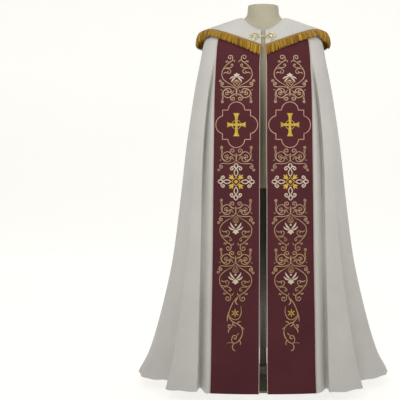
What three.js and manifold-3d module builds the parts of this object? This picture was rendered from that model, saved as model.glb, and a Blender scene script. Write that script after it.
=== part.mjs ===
// A cope on a dress form: a full-length mantle open down the front, two orphrey bands on its front
// edges, a pointed hood cape with a fringe, and a clasp in two halves.
// Millimetres, +Z up, the front towards -Y, the foot on Z = 0.
import * as THREE from 'three';
import { mergeVertices } from 'three/addons/utils/BufferGeometryUtils.js';
import Module from 'manifold-3d';

const wasm = await Module();
wasm.setup();

// Thicknesses of the cloths, and the gap left wherever two pieces meet
const CLOTH = 2.0;
const ORPHREY_CLOTH = 1.2;
const BRAID_CLOTH = 0.8;
const HEADER_CLOTH = 1.8;
const GAP = 0.35;

// The orphrey bands, as wide as this or as this share of half the outline where that is less
const ORPHREY_WIDTH = 180;
const BAND_SHARE = 0.375;
const BAND_COLUMNS = [0, 0.03, 0.27, 0.5, 0.73, 0.97, 1];
const SIDE_SEAM = 0.4;

// Sections of the mantle from the neckline to the hem, through the tops of its folds: the side on the
// shoulder line, the front and the back on the centre line, the outline's squareness, half the opening
const SECTIONS = [
  { sideX: 82, sideZ: 1441, frontY: 78, frontZ: 1386, backY: 74, backZ: 1447, square: 2.0, gap: 8 },
  { sideX: 120, sideZ: 1428, frontY: 98, frontZ: 1368, backY: 98, backZ: 1432, square: 2.1, gap: 8 },
  { sideX: 165, sideZ: 1412, frontY: 114, frontZ: 1345, backY: 120, backZ: 1408, square: 2.3, gap: 8 },
  { sideX: 203, sideZ: 1395, frontY: 126, frontZ: 1318, backY: 136, backZ: 1376, square: 2.5, gap: 8 },
  { sideX: 226, sideZ: 1370, frontY: 134, frontZ: 1286, backY: 147, backZ: 1338, square: 2.6, gap: 10 },
  { sideX: 238, sideZ: 1330, frontY: 140, frontZ: 1248, backY: 155, backZ: 1290, square: 2.6, gap: 12 },
  { sideX: 249, sideZ: 1270, frontY: 146, frontZ: 1198, backY: 163, backZ: 1225, square: 2.6, gap: 12 },
  { sideX: 273, sideZ: 1150, frontY: 153, frontZ: 1108, backY: 175, backZ: 1118, square: 2.5, gap: 12 },
  { sideX: 303, sideZ: 955, frontY: 168, frontZ: 938, backY: 195, backZ: 940, square: 2.45, gap: 12 },
  { sideX: 329, sideZ: 738, frontY: 193, frontZ: 734, backY: 224, backZ: 735, square: 2.45, gap: 13 },
  { sideX: 360, sideZ: 510, frontY: 229, frontZ: 510, backY: 262, backZ: 510, square: 2.5, gap: 13 },
  { sideX: 404, sideZ: 300, frontY: 269, frontZ: 300, backY: 299, backZ: 300, square: 2.55, gap: 14 },
  { sideX: 452, sideZ: 130, frontY: 304, frontZ: 130, backY: 326, backZ: 130, square: 2.6, gap: 14 },
  { sideX: 497, sideZ: 40, frontY: 329, frontZ: 40, backY: 331.6, backZ: 40, square: 2.6, gap: 15 },
];
const LAST = SECTIONS.length - 1;
const HEM_Z = SECTIONS[LAST].sideZ;
const MANTLE_ROWS = [0, 0.6, 1.3, 2, 2.7, 3.4, 4.2, 5, 6, 7, 8, 9, 10, 11, 12, 12.6, LAST];
const ORPHREY_ROWS = MANTLE_ROWS.filter((t) => t >= 2);
const OUTLINE_STEPS = 240;

// Troughs between the mantle's rounded folds on each side, from the front to the back. Places, and the
// reaches before and after them, are shares of the way from the orphrey to the centre back; from is the
// height where one begins.
const TROUGHS = [
  { top: 0.03, hem: 0.036, before: 0.036, after: 0.036, depth: 105, from: 1290, growth: 0.75 },
  { top: 0.165, hem: 0.188, before: 0.036, after: 0.19, depth: 84, from: 900, growth: 1.5 },
  { top: 0.47, hem: 0.53, before: 0.06, after: 0.06, depth: 92, from: 1280, growth: 0.9 },
  { top: 0.63, hem: 0.665, before: 0.055, after: 0.055, depth: 62, from: 1290, growth: 0.8 },
  { top: 0.78, hem: 0.82, before: 0.05, after: 0.05, depth: 96, from: 1240, growth: 0.8 },
];
const FRONT_TROUGHS = [0, 1];
const BACK_TROUGHS = [2, 3, 4];
const SHORT_REACH = 0.1;
const UNEVEN_DEPTH = 0.12;
const UNEVEN_PLACE = 0.005;

// The line along the top of the hood's fringe, seen from the front and from the back
const FRONT_LINE = [
  { x: 0, z: 1322 }, { x: 12, z: 1325 }, { x: 73, z: 1346 }, { x: 130, z: 1366 }, { x: 187, z: 1385 },
  { x: 207, z: 1386 }, { x: 220, z: 1378 }, { x: 228, z: 1369 }, { x: 260, z: 1335 },
];
const BACK_LINE = [
  { x: 0, z: 1103 }, { x: 50, z: 1150 }, { x: 97, z: 1195 }, { x: 130, z: 1240 }, { x: 162, z: 1291 },
  { x: 190, z: 1328 }, { x: 207, z: 1346 }, { x: 220, z: 1360 }, { x: 228, z: 1369 }, { x: 260, z: 1400 },
];
const HOOD_STANDOFF = 4.8;
const HOOD_NECK_STANDOFF = 1.1;
const HOOD_STANDOFF_RUN = 0.6;
const HOOD_HEM = 7;
const HOOD_PANEL_WIDTH = 99;
const HOOD_PANEL_NARROWING = 13;
const NARROWING_ROWS = 4;
const HOOD_NECK_ROWS = [0, 0.35, 0.9];
const HOOD_SHARES = [0.15, 0.31, 0.49, 0.72];
const FLARE = { x: 23, z: 3, from: 168, run: 55, depth: 70 };

// The fringe: its header's overhang past the hood's edge, and its strands
const HEADER_GAP = 1.6;
const HEADER_OVERHANG = 2.5;
const STRAND_SPACING = 7;
const STRAND_LENGTH = 28;
const STRAND_WIDTH = 5;
const STRAND_FALL = 0.6;
const STRAND_EASE = 0.12;

const RIGHT = 1;
const LEFT = -1;
const clamp = (v, low, high) => Math.min(high, Math.max(low, v));
const lerp = (a, b, share) => a + (b - a) * share;
const smooth = (v) => v * v * (3 - 2 * v);

// A smooth curve through a table's rows, read at a row number that may lie between two rows
function readTable(table, at) {
  const row = clamp(Math.floor(at), 0, table.length - 2);
  const u = at - row;
  const near = [row - 1, row, row + 1, row + 2].map((k) => table[clamp(k, 0, table.length - 1)]);
  const read = {};
  for (const name of Object.keys(table[0])) {
    const [a, b, c, d] = near.map((entry) => entry[name]);
    read[name] = b + 0.5 * u * (c - a + u * (2 * a - 5 * b + 4 * c - d + u * (3 * (b - c) + d - a)));
  }
  return read;
}

// The height of a line at a distance from the centre plane
function lineHeight(line, x) {
  let k = 1;
  while (k < line.length - 1 && line[k].x < x) k++;
  return lerp(line[k - 1].z, line[k].z, (x - line[k - 1].x) / (line[k].x - line[k - 1].x));
}

// A point of a section's outline at an angle from the front, in radians
function outlinePoint(section, angle) {
  const depth = Math.cos(angle) > 0 ? section.frontY : section.backY;
  const endZ = Math.cos(angle) > 0 ? section.frontZ : section.backZ;
  const across = Math.abs(Math.sin(angle) / section.sideX) ** section.square;
  const along = Math.abs(Math.cos(angle) / depth) ** section.square;
  const radius = (across + along) ** (-1 / section.square);
  const x = radius * Math.sin(angle);
  const z = lerp(endZ, section.sideZ, (x / section.sideX) ** 2);
  return new THREE.Vector3(x, -radius * Math.cos(angle), z);
}

// Half an outline from the front edge to the centre back: its angles at even steps and the length to each
function halfOutline(section, gap) {
  let first = gap / section.frontY;
  for (let k = 0; gap && k < 4; k++) first *= gap / outlinePoint(section, first).x;
  const angles = [first];
  const lengths = [0];
  let before = outlinePoint(section, first);
  for (let k = 1; k <= OUTLINE_STEPS; k++) {
    angles.push(lerp(first, Math.PI, k / OUTLINE_STEPS));
    const point = outlinePoint(section, angles[k]);
    lengths.push(lengths[k - 1] + point.distanceTo(before));
    before = point;
  }
  return { section, angles, lengths, length: lengths[OUTLINE_STEPS] };
}

// The place and the sideways direction at a length along half an outline
const TURN = 1e-3;
function alongOutline({ section, angles, lengths }, at) {
  let k = 1;
  while (k < OUTLINE_STEPS && lengths[k] < at) k++;
  const u = clamp((at - lengths[k - 1]) / (lengths[k] - lengths[k - 1]), 0, 1);
  const angle = lerp(angles[k - 1], angles[k], u);
  const run = outlinePoint(section, angle + TURN).sub(outlinePoint(section, angle - TURN));
  return { point: outlinePoint(section, angle), run: run.setZ(0).normalize() };
}

const outlines = new Map();
function mantleOutline(t) {
  if (!outlines.has(t)) {
    const section = readTable(SECTIONS, t);
    outlines.set(t, halfOutline(section, section.gap));
  }
  return outlines.get(t);
}

const bandAt = (length) => Math.min(ORPHREY_WIDTH, BAND_SHARE * length);

// Girth runs from 0 at the front edge to 1 at the orphrey's far edge and on to 2 at the centre back
function lengthAtGirth(length, girth) {
  const band = bandAt(length);
  return girth < 1 ? girth * band : lerp(band, length, girth - 1);
}

function troughPlace(side, k, z) {
  const trough = TROUGHS[k];
  const down = clamp((trough.from - z) / (trough.from - HEM_Z), 0, 1);
  const wander = k ? side * UNEVEN_PLACE * Math.sin(1.7 * k + 0.4) : 0;
  return lerp(trough.top, trough.hem, down) + wander;
}

// How far the folds dip at a share of the way from the orphrey to the centre back
function foldDepth(side, share, z) {
  let depth = 0;
  TROUGHS.forEach((trough, k) => {
    const grown = clamp((trough.from - z) / (trough.from - HEM_Z), 0, 1) ** trough.growth;
    const past = share - troughPlace(side, k, z);
    const off = past < 0 ? -past / trough.before : past / trough.after;
    const uneven = 1 + side * UNEVEN_DEPTH * Math.sin(2.3 * k + 0.6);
    if (off < 1) depth += trough.depth * uneven * grown * Math.cos((Math.PI / 2) * off) ** 2;
  });
  return depth;
}

// A point of the mantle's outer face; t is a row number of SECTIONS
function mantlePoint(side, girth, t) {
  const outline = mantleOutline(t);
  const { point, run } = alongOutline(outline, lengthAtGirth(outline.length, girth));
  const depth = girth > 1 ? foldDepth(side, girth - 1, point.z) : 0;
  return new THREE.Vector3(side * (point.x - run.y * depth), point.y + run.x * depth, point.z);
}

// A surface's point and outward normal, from small steps along it; it stays in the centre plane at mid
const STEP = 2e-3;
function onSurface(surface, side, a, b, lastA, lastB) {
  const alongA = surface(side, Math.min(a + STEP, lastA), b).sub(surface(side, Math.max(a - STEP, 0), b));
  const alongB = surface(side, a, Math.min(b + STEP, lastB)).sub(surface(side, a, Math.max(b - STEP, 0)));
  const normal = alongA.clone().cross(alongB).multiplyScalar(-side);
  if (a > lastA - STEP) normal.x = 0;
  return { point: surface(side, a, b), normal: normal.normalize(), alongA, alongB };
}
const onMantle = (side, girth, t) => onSurface(mantlePoint, side, girth, t, 2, LAST);
const movedOut = ({ point, normal }, distance) => point.clone().addScaledVector(normal, distance);

// A closed wall between two faces, each a list of rows of points
function wall(outer, inner) {
  const rows = outer.length;
  const columns = outer[0].length;
  const points = [...outer.flat(), ...inner.flat()];
  const back = rows * columns;
  const faces = [];
  const quad = (a, b, c, d) => faces.push(a, b, c, a, c, d);
  for (let r = 0; r < rows - 1; r++) {
    for (let c = 0; c < columns - 1; c++) {
      const a = r * columns + c;
      quad(a, a + columns, a + columns + 1, a + 1);
      quad(back + a, back + a + 1, back + a + columns + 1, back + a + columns);
    }
    const first = r * columns;
    const last = first + columns - 1;
    quad(first, back + first, back + first + columns, first + columns);
    quad(last, last + columns, back + last + columns, back + last);
  }
  for (let c = 0; c < columns - 1; c++) {
    const low = (rows - 1) * columns + c;
    quad(c, c + 1, back + c + 1, back + c);
    quad(low, back + low, back + low + 1, low + 1);
  }
  return solid(points, faces);
}

// A closed mesh from points and triangles, turned so that its faces look outward
function solid(points, faces) {
  const corner = (k) => points[faces[k]];
  let volume = 0;
  for (let k = 0; k < faces.length; k += 3) {
    volume += corner(k).dot(corner(k + 1).clone().cross(corner(k + 2)));
  }
  const geometry = new THREE.BufferGeometry();
  const numbers = points.flatMap((point) => point.toArray());
  geometry.setAttribute('position', new THREE.Float32BufferAttribute(numbers, 3));
  geometry.setIndex(volume < 0 ? faces.slice().reverse() : faces);
  return geometry;
}

// A closed body through rings of points, from its top to its bottom
function ringed(rings) {
  const count = rings[0].length;
  const middle = (ring) => ring.reduce((sum, p) => sum.add(p), new THREE.Vector3()).divideScalar(count);
  const points = [...rings.flat(), middle(rings[0]), middle(rings[rings.length - 1])];
  const faces = [];
  for (let k = 0; k < count; k++) {
    const next = (k + 1) % count;
    for (let r = 0; r < rings.length - 1; r++) {
      const a = r * count;
      faces.push(a + k, a + count + k, a + count + next, a + k, a + count + next, a + next);
    }
    const low = (rings.length - 1) * count;
    faces.push(points.length - 2, k, next, points.length - 1, low + next, low + k);
  }
  return solid(points, faces);
}

function toManifold(geometry) {
  const bare = new THREE.BufferGeometry();
  bare.setAttribute('position', geometry.getAttribute('position'));
  if (geometry.index) bare.setIndex(geometry.index);
  const merged = mergeVertices(bare, 1e-3);
  const mesh = new wasm.Mesh({
    numProp: 3,
    vertProperties: new Float32Array(merged.getAttribute('position').array),
    triVerts: new Uint32Array(merged.index.array),
  });
  mesh.merge();
  return new wasm.Manifold(mesh);
}

function joined(geometries) {
  const mesh = wasm.Manifold.union(geometries.map(toManifold)).getMesh();
  const geometry = new THREE.BufferGeometry();
  geometry.setAttribute('position', new THREE.Float32BufferAttribute(mesh.vertProperties, 3));
  geometry.setIndex(Array.from(mesh.triVerts));
  return geometry;
}

// Columns of the mantle's body at one height: the stations of each trough, and a column on the fold before it
function bodyColumns(side, t, troughs, start, end, closing) {
  const outline = mantleOutline(t);
  const heightAt = (share) => alongOutline(outline, lengthAtGirth(outline.length, 1 + share)).point.z;
  const shares = [start];
  for (const k of troughs) {
    const { top, before, after } = TROUGHS[k];
    const place = troughPlace(side, k, heightAt(top));
    if (k) shares.push(lerp(shares[shares.length - 1], place - before, 0.5), place - before);
    shares.push(place - before / 2);
    const steps = after > SHORT_REACH ? 4 : 2;
    for (let m = 0; m <= steps; m++) shares.push(place + (after * m) / steps);
  }
  const last = shares[shares.length - 1];
  for (let m = 1; m <= closing; m++) shares.push(lerp(last, end, m / closing));
  return shares.map((share) => 1 + share);
}

const seamHalf = (t) => {
  const { length } = mantleOutline(t);
  return (0.5 * GAP) / (length - bandAt(length));
};
const frontColumns = (side, t) => [
  ...BAND_COLUMNS.slice(0, -1),
  ...bodyColumns(side, t, FRONT_TROUGHS, 0, SIDE_SEAM - seamHalf(t), 2),
];
const backColumns = (side, t) => bodyColumns(side, t, BACK_TROUGHS, SIDE_SEAM + seamHalf(t), 1, 3);

// A layer that follows the mantle between two distances from its outer face
function layer(rows, columnsAt, inside, outside) {
  const grid = rows.map((t) => columnsAt(t).map(([side, girth]) => onMantle(side, girth, t)));
  return wall(
    grid.map((row) => row.map((spot) => movedOut(spot, outside))),
    grid.map((row) => row.map((spot) => movedOut(spot, inside))),
  );
}
const onSide = (side, columns) => columns.map((girth) => [side, girth]);

const group = new THREE.Group();
group.name = 'cope_on_dress_form';
const cream = () => new THREE.MeshStandardMaterial({ color: 0xddd8cc, roughness: 0.75, metalness: 0 });
const burgundy = () => new THREE.MeshStandardMaterial({ color: 0x5a2432, roughness: 0.7, metalness: 0 });
const braidGold = () => new THREE.MeshStandardMaterial({ color: 0xb99a62, roughness: 0.5, metalness: 0.2 });
const fringeGold = () => new THREE.MeshStandardMaterial({ color: 0xa67c1e, roughness: 0.55, metalness: 0.1 });
const paleGold = () => new THREE.MeshStandardMaterial({ color: 0xd8c88a, roughness: 0.3, metalness: 0.9 });
const jersey = () => new THREE.MeshStandardMaterial({ color: 0xc4bfac, roughness: 0.85, metalness: 0 });
const enamel = () => new THREE.MeshStandardMaterial({ color: 0x6e6a62, roughness: 0.45, metalness: 0.1 });

function add(name, geometry, material) {
  const mesh = new THREE.Mesh(geometry, material);
  mesh.name = name;
  group.add(mesh);
}

// The mantle's three panels
for (const [side, word] of [[LEFT, 'left'], [RIGHT, 'right']]) {
  const columnsAt = (t) => onSide(side, frontColumns(side, t));
  add(`mantle_front_${word}`, layer(MANTLE_ROWS, columnsAt, -CLOTH, 0), cream());
}
const acrossBack = (t) => [
  ...onSide(RIGHT, backColumns(RIGHT, t)),
  ...onSide(LEFT, backColumns(LEFT, t)).reverse().slice(1),
];
add('mantle_back', layer(MANTLE_ROWS, acrossBack, -CLOTH, 0), cream());

// The orphreys and the braids along their edges
const ORPHREY_FACE = GAP + ORPHREY_CLOTH;
for (const [side, word] of [[LEFT, 'left'], [RIGHT, 'right']]) {
  const strip = (columns, inside, outside) =>
    layer(ORPHREY_ROWS, () => onSide(side, columns), inside, outside);
  const braid = (columns) => strip(columns, ORPHREY_FACE + GAP, ORPHREY_FACE + GAP + BRAID_CLOTH);
  add(`orphrey_${word}`, strip(BAND_COLUMNS, GAP, ORPHREY_FACE), burgundy());
  add(`orphrey_${word}_inner_braid`, braid(BAND_COLUMNS.slice(0, 2)), braidGold());
  add(`orphrey_${word}_outer_braid`, braid(BAND_COLUMNS.slice(-2)), braidGold());
}

// The hood. Reach runs from 0 at its front edge to 1 at its back panel and on to 2 at the centre back.
function hoodBase(reach, t) {
  const outline = mantleOutline(t);
  const narrowing = HOOD_PANEL_NARROWING * smooth(clamp(1 - t / NARROWING_ROWS, 0, 1));
  const panel = HOOD_PANEL_WIDTH - narrowing;
  const { length } = outline;
  const at = reach < 1 ? reach * (length - panel) : length - (2 - reach) * panel;
  return alongOutline(outline, at).point;
}

// The row number at which the top of the fringe crosses a column of the hood
const LINE_SEARCH = [0.5, 9];
const lineRows = new Map();
function lineRow(reach) {
  if (!lineRows.has(reach)) {
    let [low, high] = LINE_SEARCH;
    while (high - low > 1e-5) {
      const middle = (low + high) / 2;
      const point = hoodBase(reach, middle);
      if (point.z > lineHeight(point.y < 0 ? FRONT_LINE : BACK_LINE, point.x)) low = middle;
      else high = middle;
    }
    lineRows.set(reach, low);
  }
  return lineRows.get(reach);
}

// The mantle without its folds, moved out to the hood's inner face and flared at the shoulders
function hoodPoint(side, reach, t) {
  const base = (s, r, row) => {
    const point = hoodBase(r, row);
    return point.setX(s * point.x);
  };
  const spot = onSurface(base, side, reach, t, 2, LAST);
  const standoff = lerp(HOOD_NECK_STANDOFF, HOOD_STANDOFF, smooth(clamp(t / HOOD_STANDOFF_RUN, 0, 1)));
  const point = movedOut(spot, standoff);
  const outward = clamp((Math.abs(spot.point.x) - FLARE.from) / FLARE.run, 0, 1) ** 2;
  const flare = outward * Math.exp(-((spot.point.y / FLARE.depth) ** 2));
  return point.add(new THREE.Vector3(side * FLARE.x * flare, 0, FLARE.z * flare));
}
const onHood = (side, reach, t) => onSurface(hoodPoint, side, reach, t, 2, LAST);

// The row number at a distance below the top line of the fringe, measured square to that line
const EDGE_STEP = 0.01;
function rowBelow(side, reach, distance) {
  const row = lineRow(reach);
  const spot = onHood(side, reach, row);
  const ahead = Math.min(reach + EDGE_STEP, 2);
  const behind = Math.max(reach - EDGE_STEP, 0);
  const onLine = (r) => hoodPoint(side, r, lineRow(r));
  const edge = onLine(ahead).sub(onLine(behind)).normalize();
  const down = spot.alongB.clone().addScaledVector(edge, -spot.alongB.dot(edge)).length() / (2 * STEP);
  return row + distance / down;
}

const FRONT_REACHES = [0, 0.07, 0.15, 0.23, 0.31, 0.38, 0.44, 0.48, 0.51, 0.54, 0.57];
const SHOULDER_REACHES = [0.61, 0.65, 0.7, 0.76, 0.82, 0.88, 0.94];
const PANEL_REACHES = [1, 1.05, 1.25, 1.5, 1.75, 2];
const hoodReaches = [...FRONT_REACHES, ...SHOULDER_REACHES, ...PANEL_REACHES];

// Rows of the hood: near the neckline, on down to just above the fringe, then its own edge under the
// fringe's header
const PANEL_END = -0.6;
function hoodRowsAt(side, reach) {
  const end = rowBelow(side, reach, PANEL_END);
  const down = HOOD_SHARES.map((share) => lerp(HOOD_NECK_ROWS[HOOD_NECK_ROWS.length - 1], end, share));
  return [...HOOD_NECK_ROWS, ...down, end, rowBelow(side, reach, HOOD_HEM)];
}

// A layer on the hood: rowsAt gives the row numbers down each column
function hoodLayer(columns, rowsAt, inside, outside) {
  const strips = columns.map(([side, reach]) => rowsAt(side, reach).map((t) => onHood(side, reach, t)));
  return wall(
    strips.map((strip) => strip.map((spot) => movedOut(spot, outside))),
    strips.map((strip) => strip.map((spot) => movedOut(spot, inside))),
  );
}
const inOrder = (side, reaches) => (side === LEFT ? onSide(side, reaches).reverse() : onSide(side, reaches));
const bothSides = (reaches) => [...inOrder(RIGHT, reaches), ...inOrder(LEFT, reaches).slice(1)];
add('hood', hoodLayer(bothSides(hoodReaches), hoodRowsAt, 0, CLOTH), cream());

// The burgundy panel down the back of the hood, and its two braids
const panelRowsAt = (side, reach) => hoodRowsAt(side, reach).slice(0, -1);
const PANEL_FACE = CLOTH + GAP + ORPHREY_CLOTH;
add('hood_orphrey', hoodLayer(bothSides(PANEL_REACHES), panelRowsAt, CLOTH + GAP, PANEL_FACE), burgundy());
for (const [side, word] of [[LEFT, 'left'], [RIGHT, 'right']]) {
  const columns = inOrder(side, PANEL_REACHES.slice(0, 2));
  const braid = hoodLayer(columns, panelRowsAt, PANEL_FACE + GAP, PANEL_FACE + GAP + BRAID_CLOTH);
  add(`hood_braid_${word}`, braid, braidGold());
}

// The header's section at a column of the hood, and the way a lock hangs from it, between square to the
// edge and straight down
const HEADER_STEP = 0.02;
function headerAt(side, reach) {
  const face = (row) => {
    const spot = onHood(side, reach, row);
    return [movedOut(spot, CLOTH + HEADER_GAP), movedOut(spot, CLOTH + HEADER_GAP + HEADER_CLOTH), spot];
  };
  const [topIn, topOut] = face(rowBelow(side, reach, 0));
  const [lowIn, lowOut, spot] = face(rowBelow(side, reach, HOOD_HEM + HEADER_OVERHANG));
  const step = reach > 2 - HEADER_STEP ? -HEADER_STEP : HEADER_STEP;
  const onEdge = (r) => onHood(side, r, rowBelow(side, r, HOOD_HEM)).point;
  const edge = onEdge(reach + step).sub(onEdge(reach)).normalize();
  const flat = (v) => v.addScaledVector(spot.normal, -v.dot(spot.normal)).normalize();
  const square = flat(spot.alongB.clone().addScaledVector(edge, -spot.alongB.dot(edge)));
  const down = square.lerp(flat(new THREE.Vector3(0, 0, -1)), STRAND_FALL);
  down.addScaledVector(spot.normal, -STRAND_EASE).normalize();
  return { topIn, topOut, lowIn, lowOut, down };
}

// A stretch of fringe in one piece: the header, and from its lower face one lock at each step
function fringe(side, reaches) {
  const stations = reaches.map((reach) => headerAt(side, reach));
  const lengths = [0];
  for (let k = 1; k < stations.length; k++) {
    lengths.push(lengths[k - 1] + stations[k].lowIn.distanceTo(stations[k - 1].lowIn));
  }
  const total = lengths[lengths.length - 1];
  const count = Math.floor((total - STRAND_WIDTH) / STRAND_SPACING);
  const margin = (total - count * STRAND_SPACING) / 2;
  const edges = [0];
  for (let n = 0; n <= count; n++) {
    const middle = margin + n * STRAND_SPACING;
    edges.push(middle - STRAND_WIDTH / 2, middle + STRAND_WIDTH / 2);
  }
  edges.push(total);
  const points = edges.flatMap((at) => {
    let k = 1;
    while (k < lengths.length - 1 && lengths[k] < at) k++;
    const u = (at - lengths[k - 1]) / (lengths[k] - lengths[k - 1]);
    const mixed = (key) => stations[k - 1][key].clone().lerp(stations[k][key], u);
    const [topIn, topOut, lowIn, lowOut, down] = ['topIn', 'topOut', 'lowIn', 'lowOut', 'down'].map(mixed);
    const fallen = (corner) => corner.clone().addScaledVector(down, STRAND_LENGTH);
    return [topIn, topOut, lowOut, lowIn, fallen(lowOut), fallen(lowIn)];
  });
  const faces = [];
  const quad = (a, b, c, d) => faces.push(a, b, c, a, c, d);
  const size = 6;
  for (let k = 0; k < edges.length - 1; k++) {
    const [a, b] = [k * size, (k + 1) * size];
    for (const [m, n] of [[0, 1], [1, 2]]) quad(a + m, a + n, b + n, b + m);
    quad(a, b, b + 3, a + 3);
    if (k % 2 === 0) quad(a + 2, a + 3, b + 3, b + 2);
    else {
      for (const [m, n] of [[2, 4], [4, 5], [5, 3]]) quad(a + m, a + n, b + n, b + m);
      quad(a + 4, a + 2, a + 3, a + 5);
      quad(b + 2, b + 4, b + 5, b + 3);
    }
  }
  const end = (edges.length - 1) * size;
  quad(0, 3, 2, 1);
  quad(end, end + 1, end + 2, end + 3);
  return solid(points, faces);
}
const SHOULDER_GAP = 0.0008;
const CENTRE_GAP = 0.002;
const parting = FRONT_REACHES[FRONT_REACHES.length - 1];
const BACK_REACHES = [
  parting + SHOULDER_GAP, ...SHOULDER_REACHES, ...PANEL_REACHES.slice(0, -1), 2 - CENTRE_GAP,
];
for (const [side, word] of [[LEFT, 'left'], [RIGHT, 'right']]) {
  add(`fringe_front_${word}`, fringe(side, FRONT_REACHES), fringeGold());
  add(`fringe_back_${word}`, fringe(side, BACK_REACHES), fringeGold());
}

// The clasp: two pierced plates in one plane that touches the hood's front, an eye in the right one and a
// hook on the left one
const CLASP_Z = 1359;
const PLATE = { width: 45, height: 33, thick: 1.6, lobes: 4, lobeDepth: 0.16, steps: 40 };
const FUSED = 0.4;
const LEFT_PLATE_X = -31.5;
const RIGHT_PLATE_X = 25;
const PIERCING = { count: 6, ring: 0.58, radius: 0.15, steps: 8 };
const BOSS = { radius: 5, height: 3, steps: 12, rings: 3 };
const EYE = { x: 7.2, halfWidth: 2.4, halfHeight: 3.4 };
const HOOK = { width: 4, bar: 1.6, lift: 0.5, tip: 2.2, reach: 1.2 };

// A lobed outline, as a list of points round a centre
function lobed(x, y, width, height, { lobes, lobeDepth, steps }) {
  return Array.from({ length: steps }, (_, k) => {
    const angle = (2 * Math.PI * k) / steps;
    const radius = 0.5 * (1 - lobeDepth * Math.cos(lobes * angle) ** 2 * Math.abs(Math.sin(lobes * angle)) -
      lobeDepth * Math.sin((lobes * angle) / 2) ** 2);
    return new THREE.Vector2(x + width * radius * Math.cos(angle), y + height * radius * Math.sin(angle));
  });
}
const extruded = (shape, depth) => new THREE.ExtrudeGeometry(shape, { depth, bevelEnabled: false });

// A plate lying in X and Y with its back at Z = 0, pierced in a ring round its boss
function claspPlate(x, eye) {
  const shape = new THREE.Shape(lobed(x, 0, PLATE.width, PLATE.height, PLATE));
  for (let k = 0; k < PIERCING.count; k++) {
    const angle = (2 * Math.PI * (k + 0.5)) / PIERCING.count;
    const centreX = x + 0.5 * PLATE.width * PIERCING.ring * Math.cos(angle);
    const centreY = 0.5 * PLATE.height * PIERCING.ring * Math.sin(angle);
    const size = PLATE.height * PIERCING.radius;
    const round = { lobes: 0, lobeDepth: 0, steps: PIERCING.steps };
    shape.holes.push(new THREE.Path(lobed(centreX, centreY, size, size, round)));
  }
  if (eye) {
    const corners = [[-1, -1], [1, -1], [1, 1], [-1, 1]];
    const at = ([u, v]) => new THREE.Vector2(EYE.x + u * EYE.halfWidth, v * EYE.halfHeight);
    shape.holes.push(new THREE.Path(corners.map(at)));
  }
  const profile = Array.from({ length: BOSS.rings + 1 }, (_, k) => {
    const rise = (Math.PI / 2) * (k / BOSS.rings);
    return [BOSS.radius * Math.cos(rise), PLATE.thick - FUSED + BOSS.height * Math.sin(rise)];
  });
  const rings = profile.slice(0, -1).reverse().map(([radius, lift]) =>
    Array.from({ length: BOSS.steps }, (_, k) => {
      const angle = (2 * Math.PI * k) / BOSS.steps;
      return new THREE.Vector3(x + radius * Math.cos(angle), radius * Math.sin(angle), lift);
    }));
  return joined([extruded(shape, PLATE.thick), ringed(rings)]);
}

// The hook's side view, from its tongue on the left plate over the right one and down through the eye
function claspHook() {
  const over = PLATE.thick + HOOK.lift;
  const tip = EYE.x + 0.2;
  const side = [
    [-17, PLATE.thick - 0.3], [-10, PLATE.thick - 0.3], [-8, over], [tip - HOOK.bar, over],
    [tip - HOOK.bar, -HOOK.tip + HOOK.bar], [tip - HOOK.bar - HOOK.reach, -HOOK.tip + HOOK.bar],
    [tip - HOOK.bar - HOOK.reach, -HOOK.tip], [tip, -HOOK.tip], [tip, over + HOOK.bar],
    [-9, over + HOOK.bar], [-12, PLATE.thick + HOOK.bar], [-17, PLATE.thick + HOOK.bar],
  ].map(([u, v]) => new THREE.Vector2(u, v));
  return extruded(new THREE.Shape(side), HOOK.width).translate(0, 0, -HOOK.width / 2).rotateX(Math.PI / 2);
}

// The clasp's plane: its slope is the hood's at the front, and it lies clear of the hood all over
const claspSpots = [];
for (const side of [LEFT, RIGHT]) {
  for (const reach of hoodReaches.slice(0, 4)) {
    for (const t of hoodRowsAt(side, reach)) claspSpots.push(movedOut(onHood(side, reach, t), CLOTH));
  }
}
const slope = onHood(RIGHT, 0.05, 1.5).normal.setX(0).normalize();
const lift = Math.max(...claspSpots.map((point) => point.dot(slope))) + GAP;
const claspUp = new THREE.Vector3(1, 0, 0).cross(slope).negate();
const claspCentre = slope.clone().multiplyScalar(lift);
claspCentre.addScaledVector(claspUp, (CLASP_Z - claspCentre.z) / claspUp.z);
const claspFrame = new THREE.Matrix4().makeBasis(new THREE.Vector3(1, 0, 0), claspUp, slope);
claspFrame.setPosition(claspCentre);
const hookedPlate = joined([claspPlate(LEFT_PLATE_X, false), claspHook()]);
add('clasp_left', hookedPlate.applyMatrix4(claspFrame), paleGold());
add('clasp_right', claspPlate(RIGHT_PLATE_X, true).applyMatrix4(claspFrame), paleGold());

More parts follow.
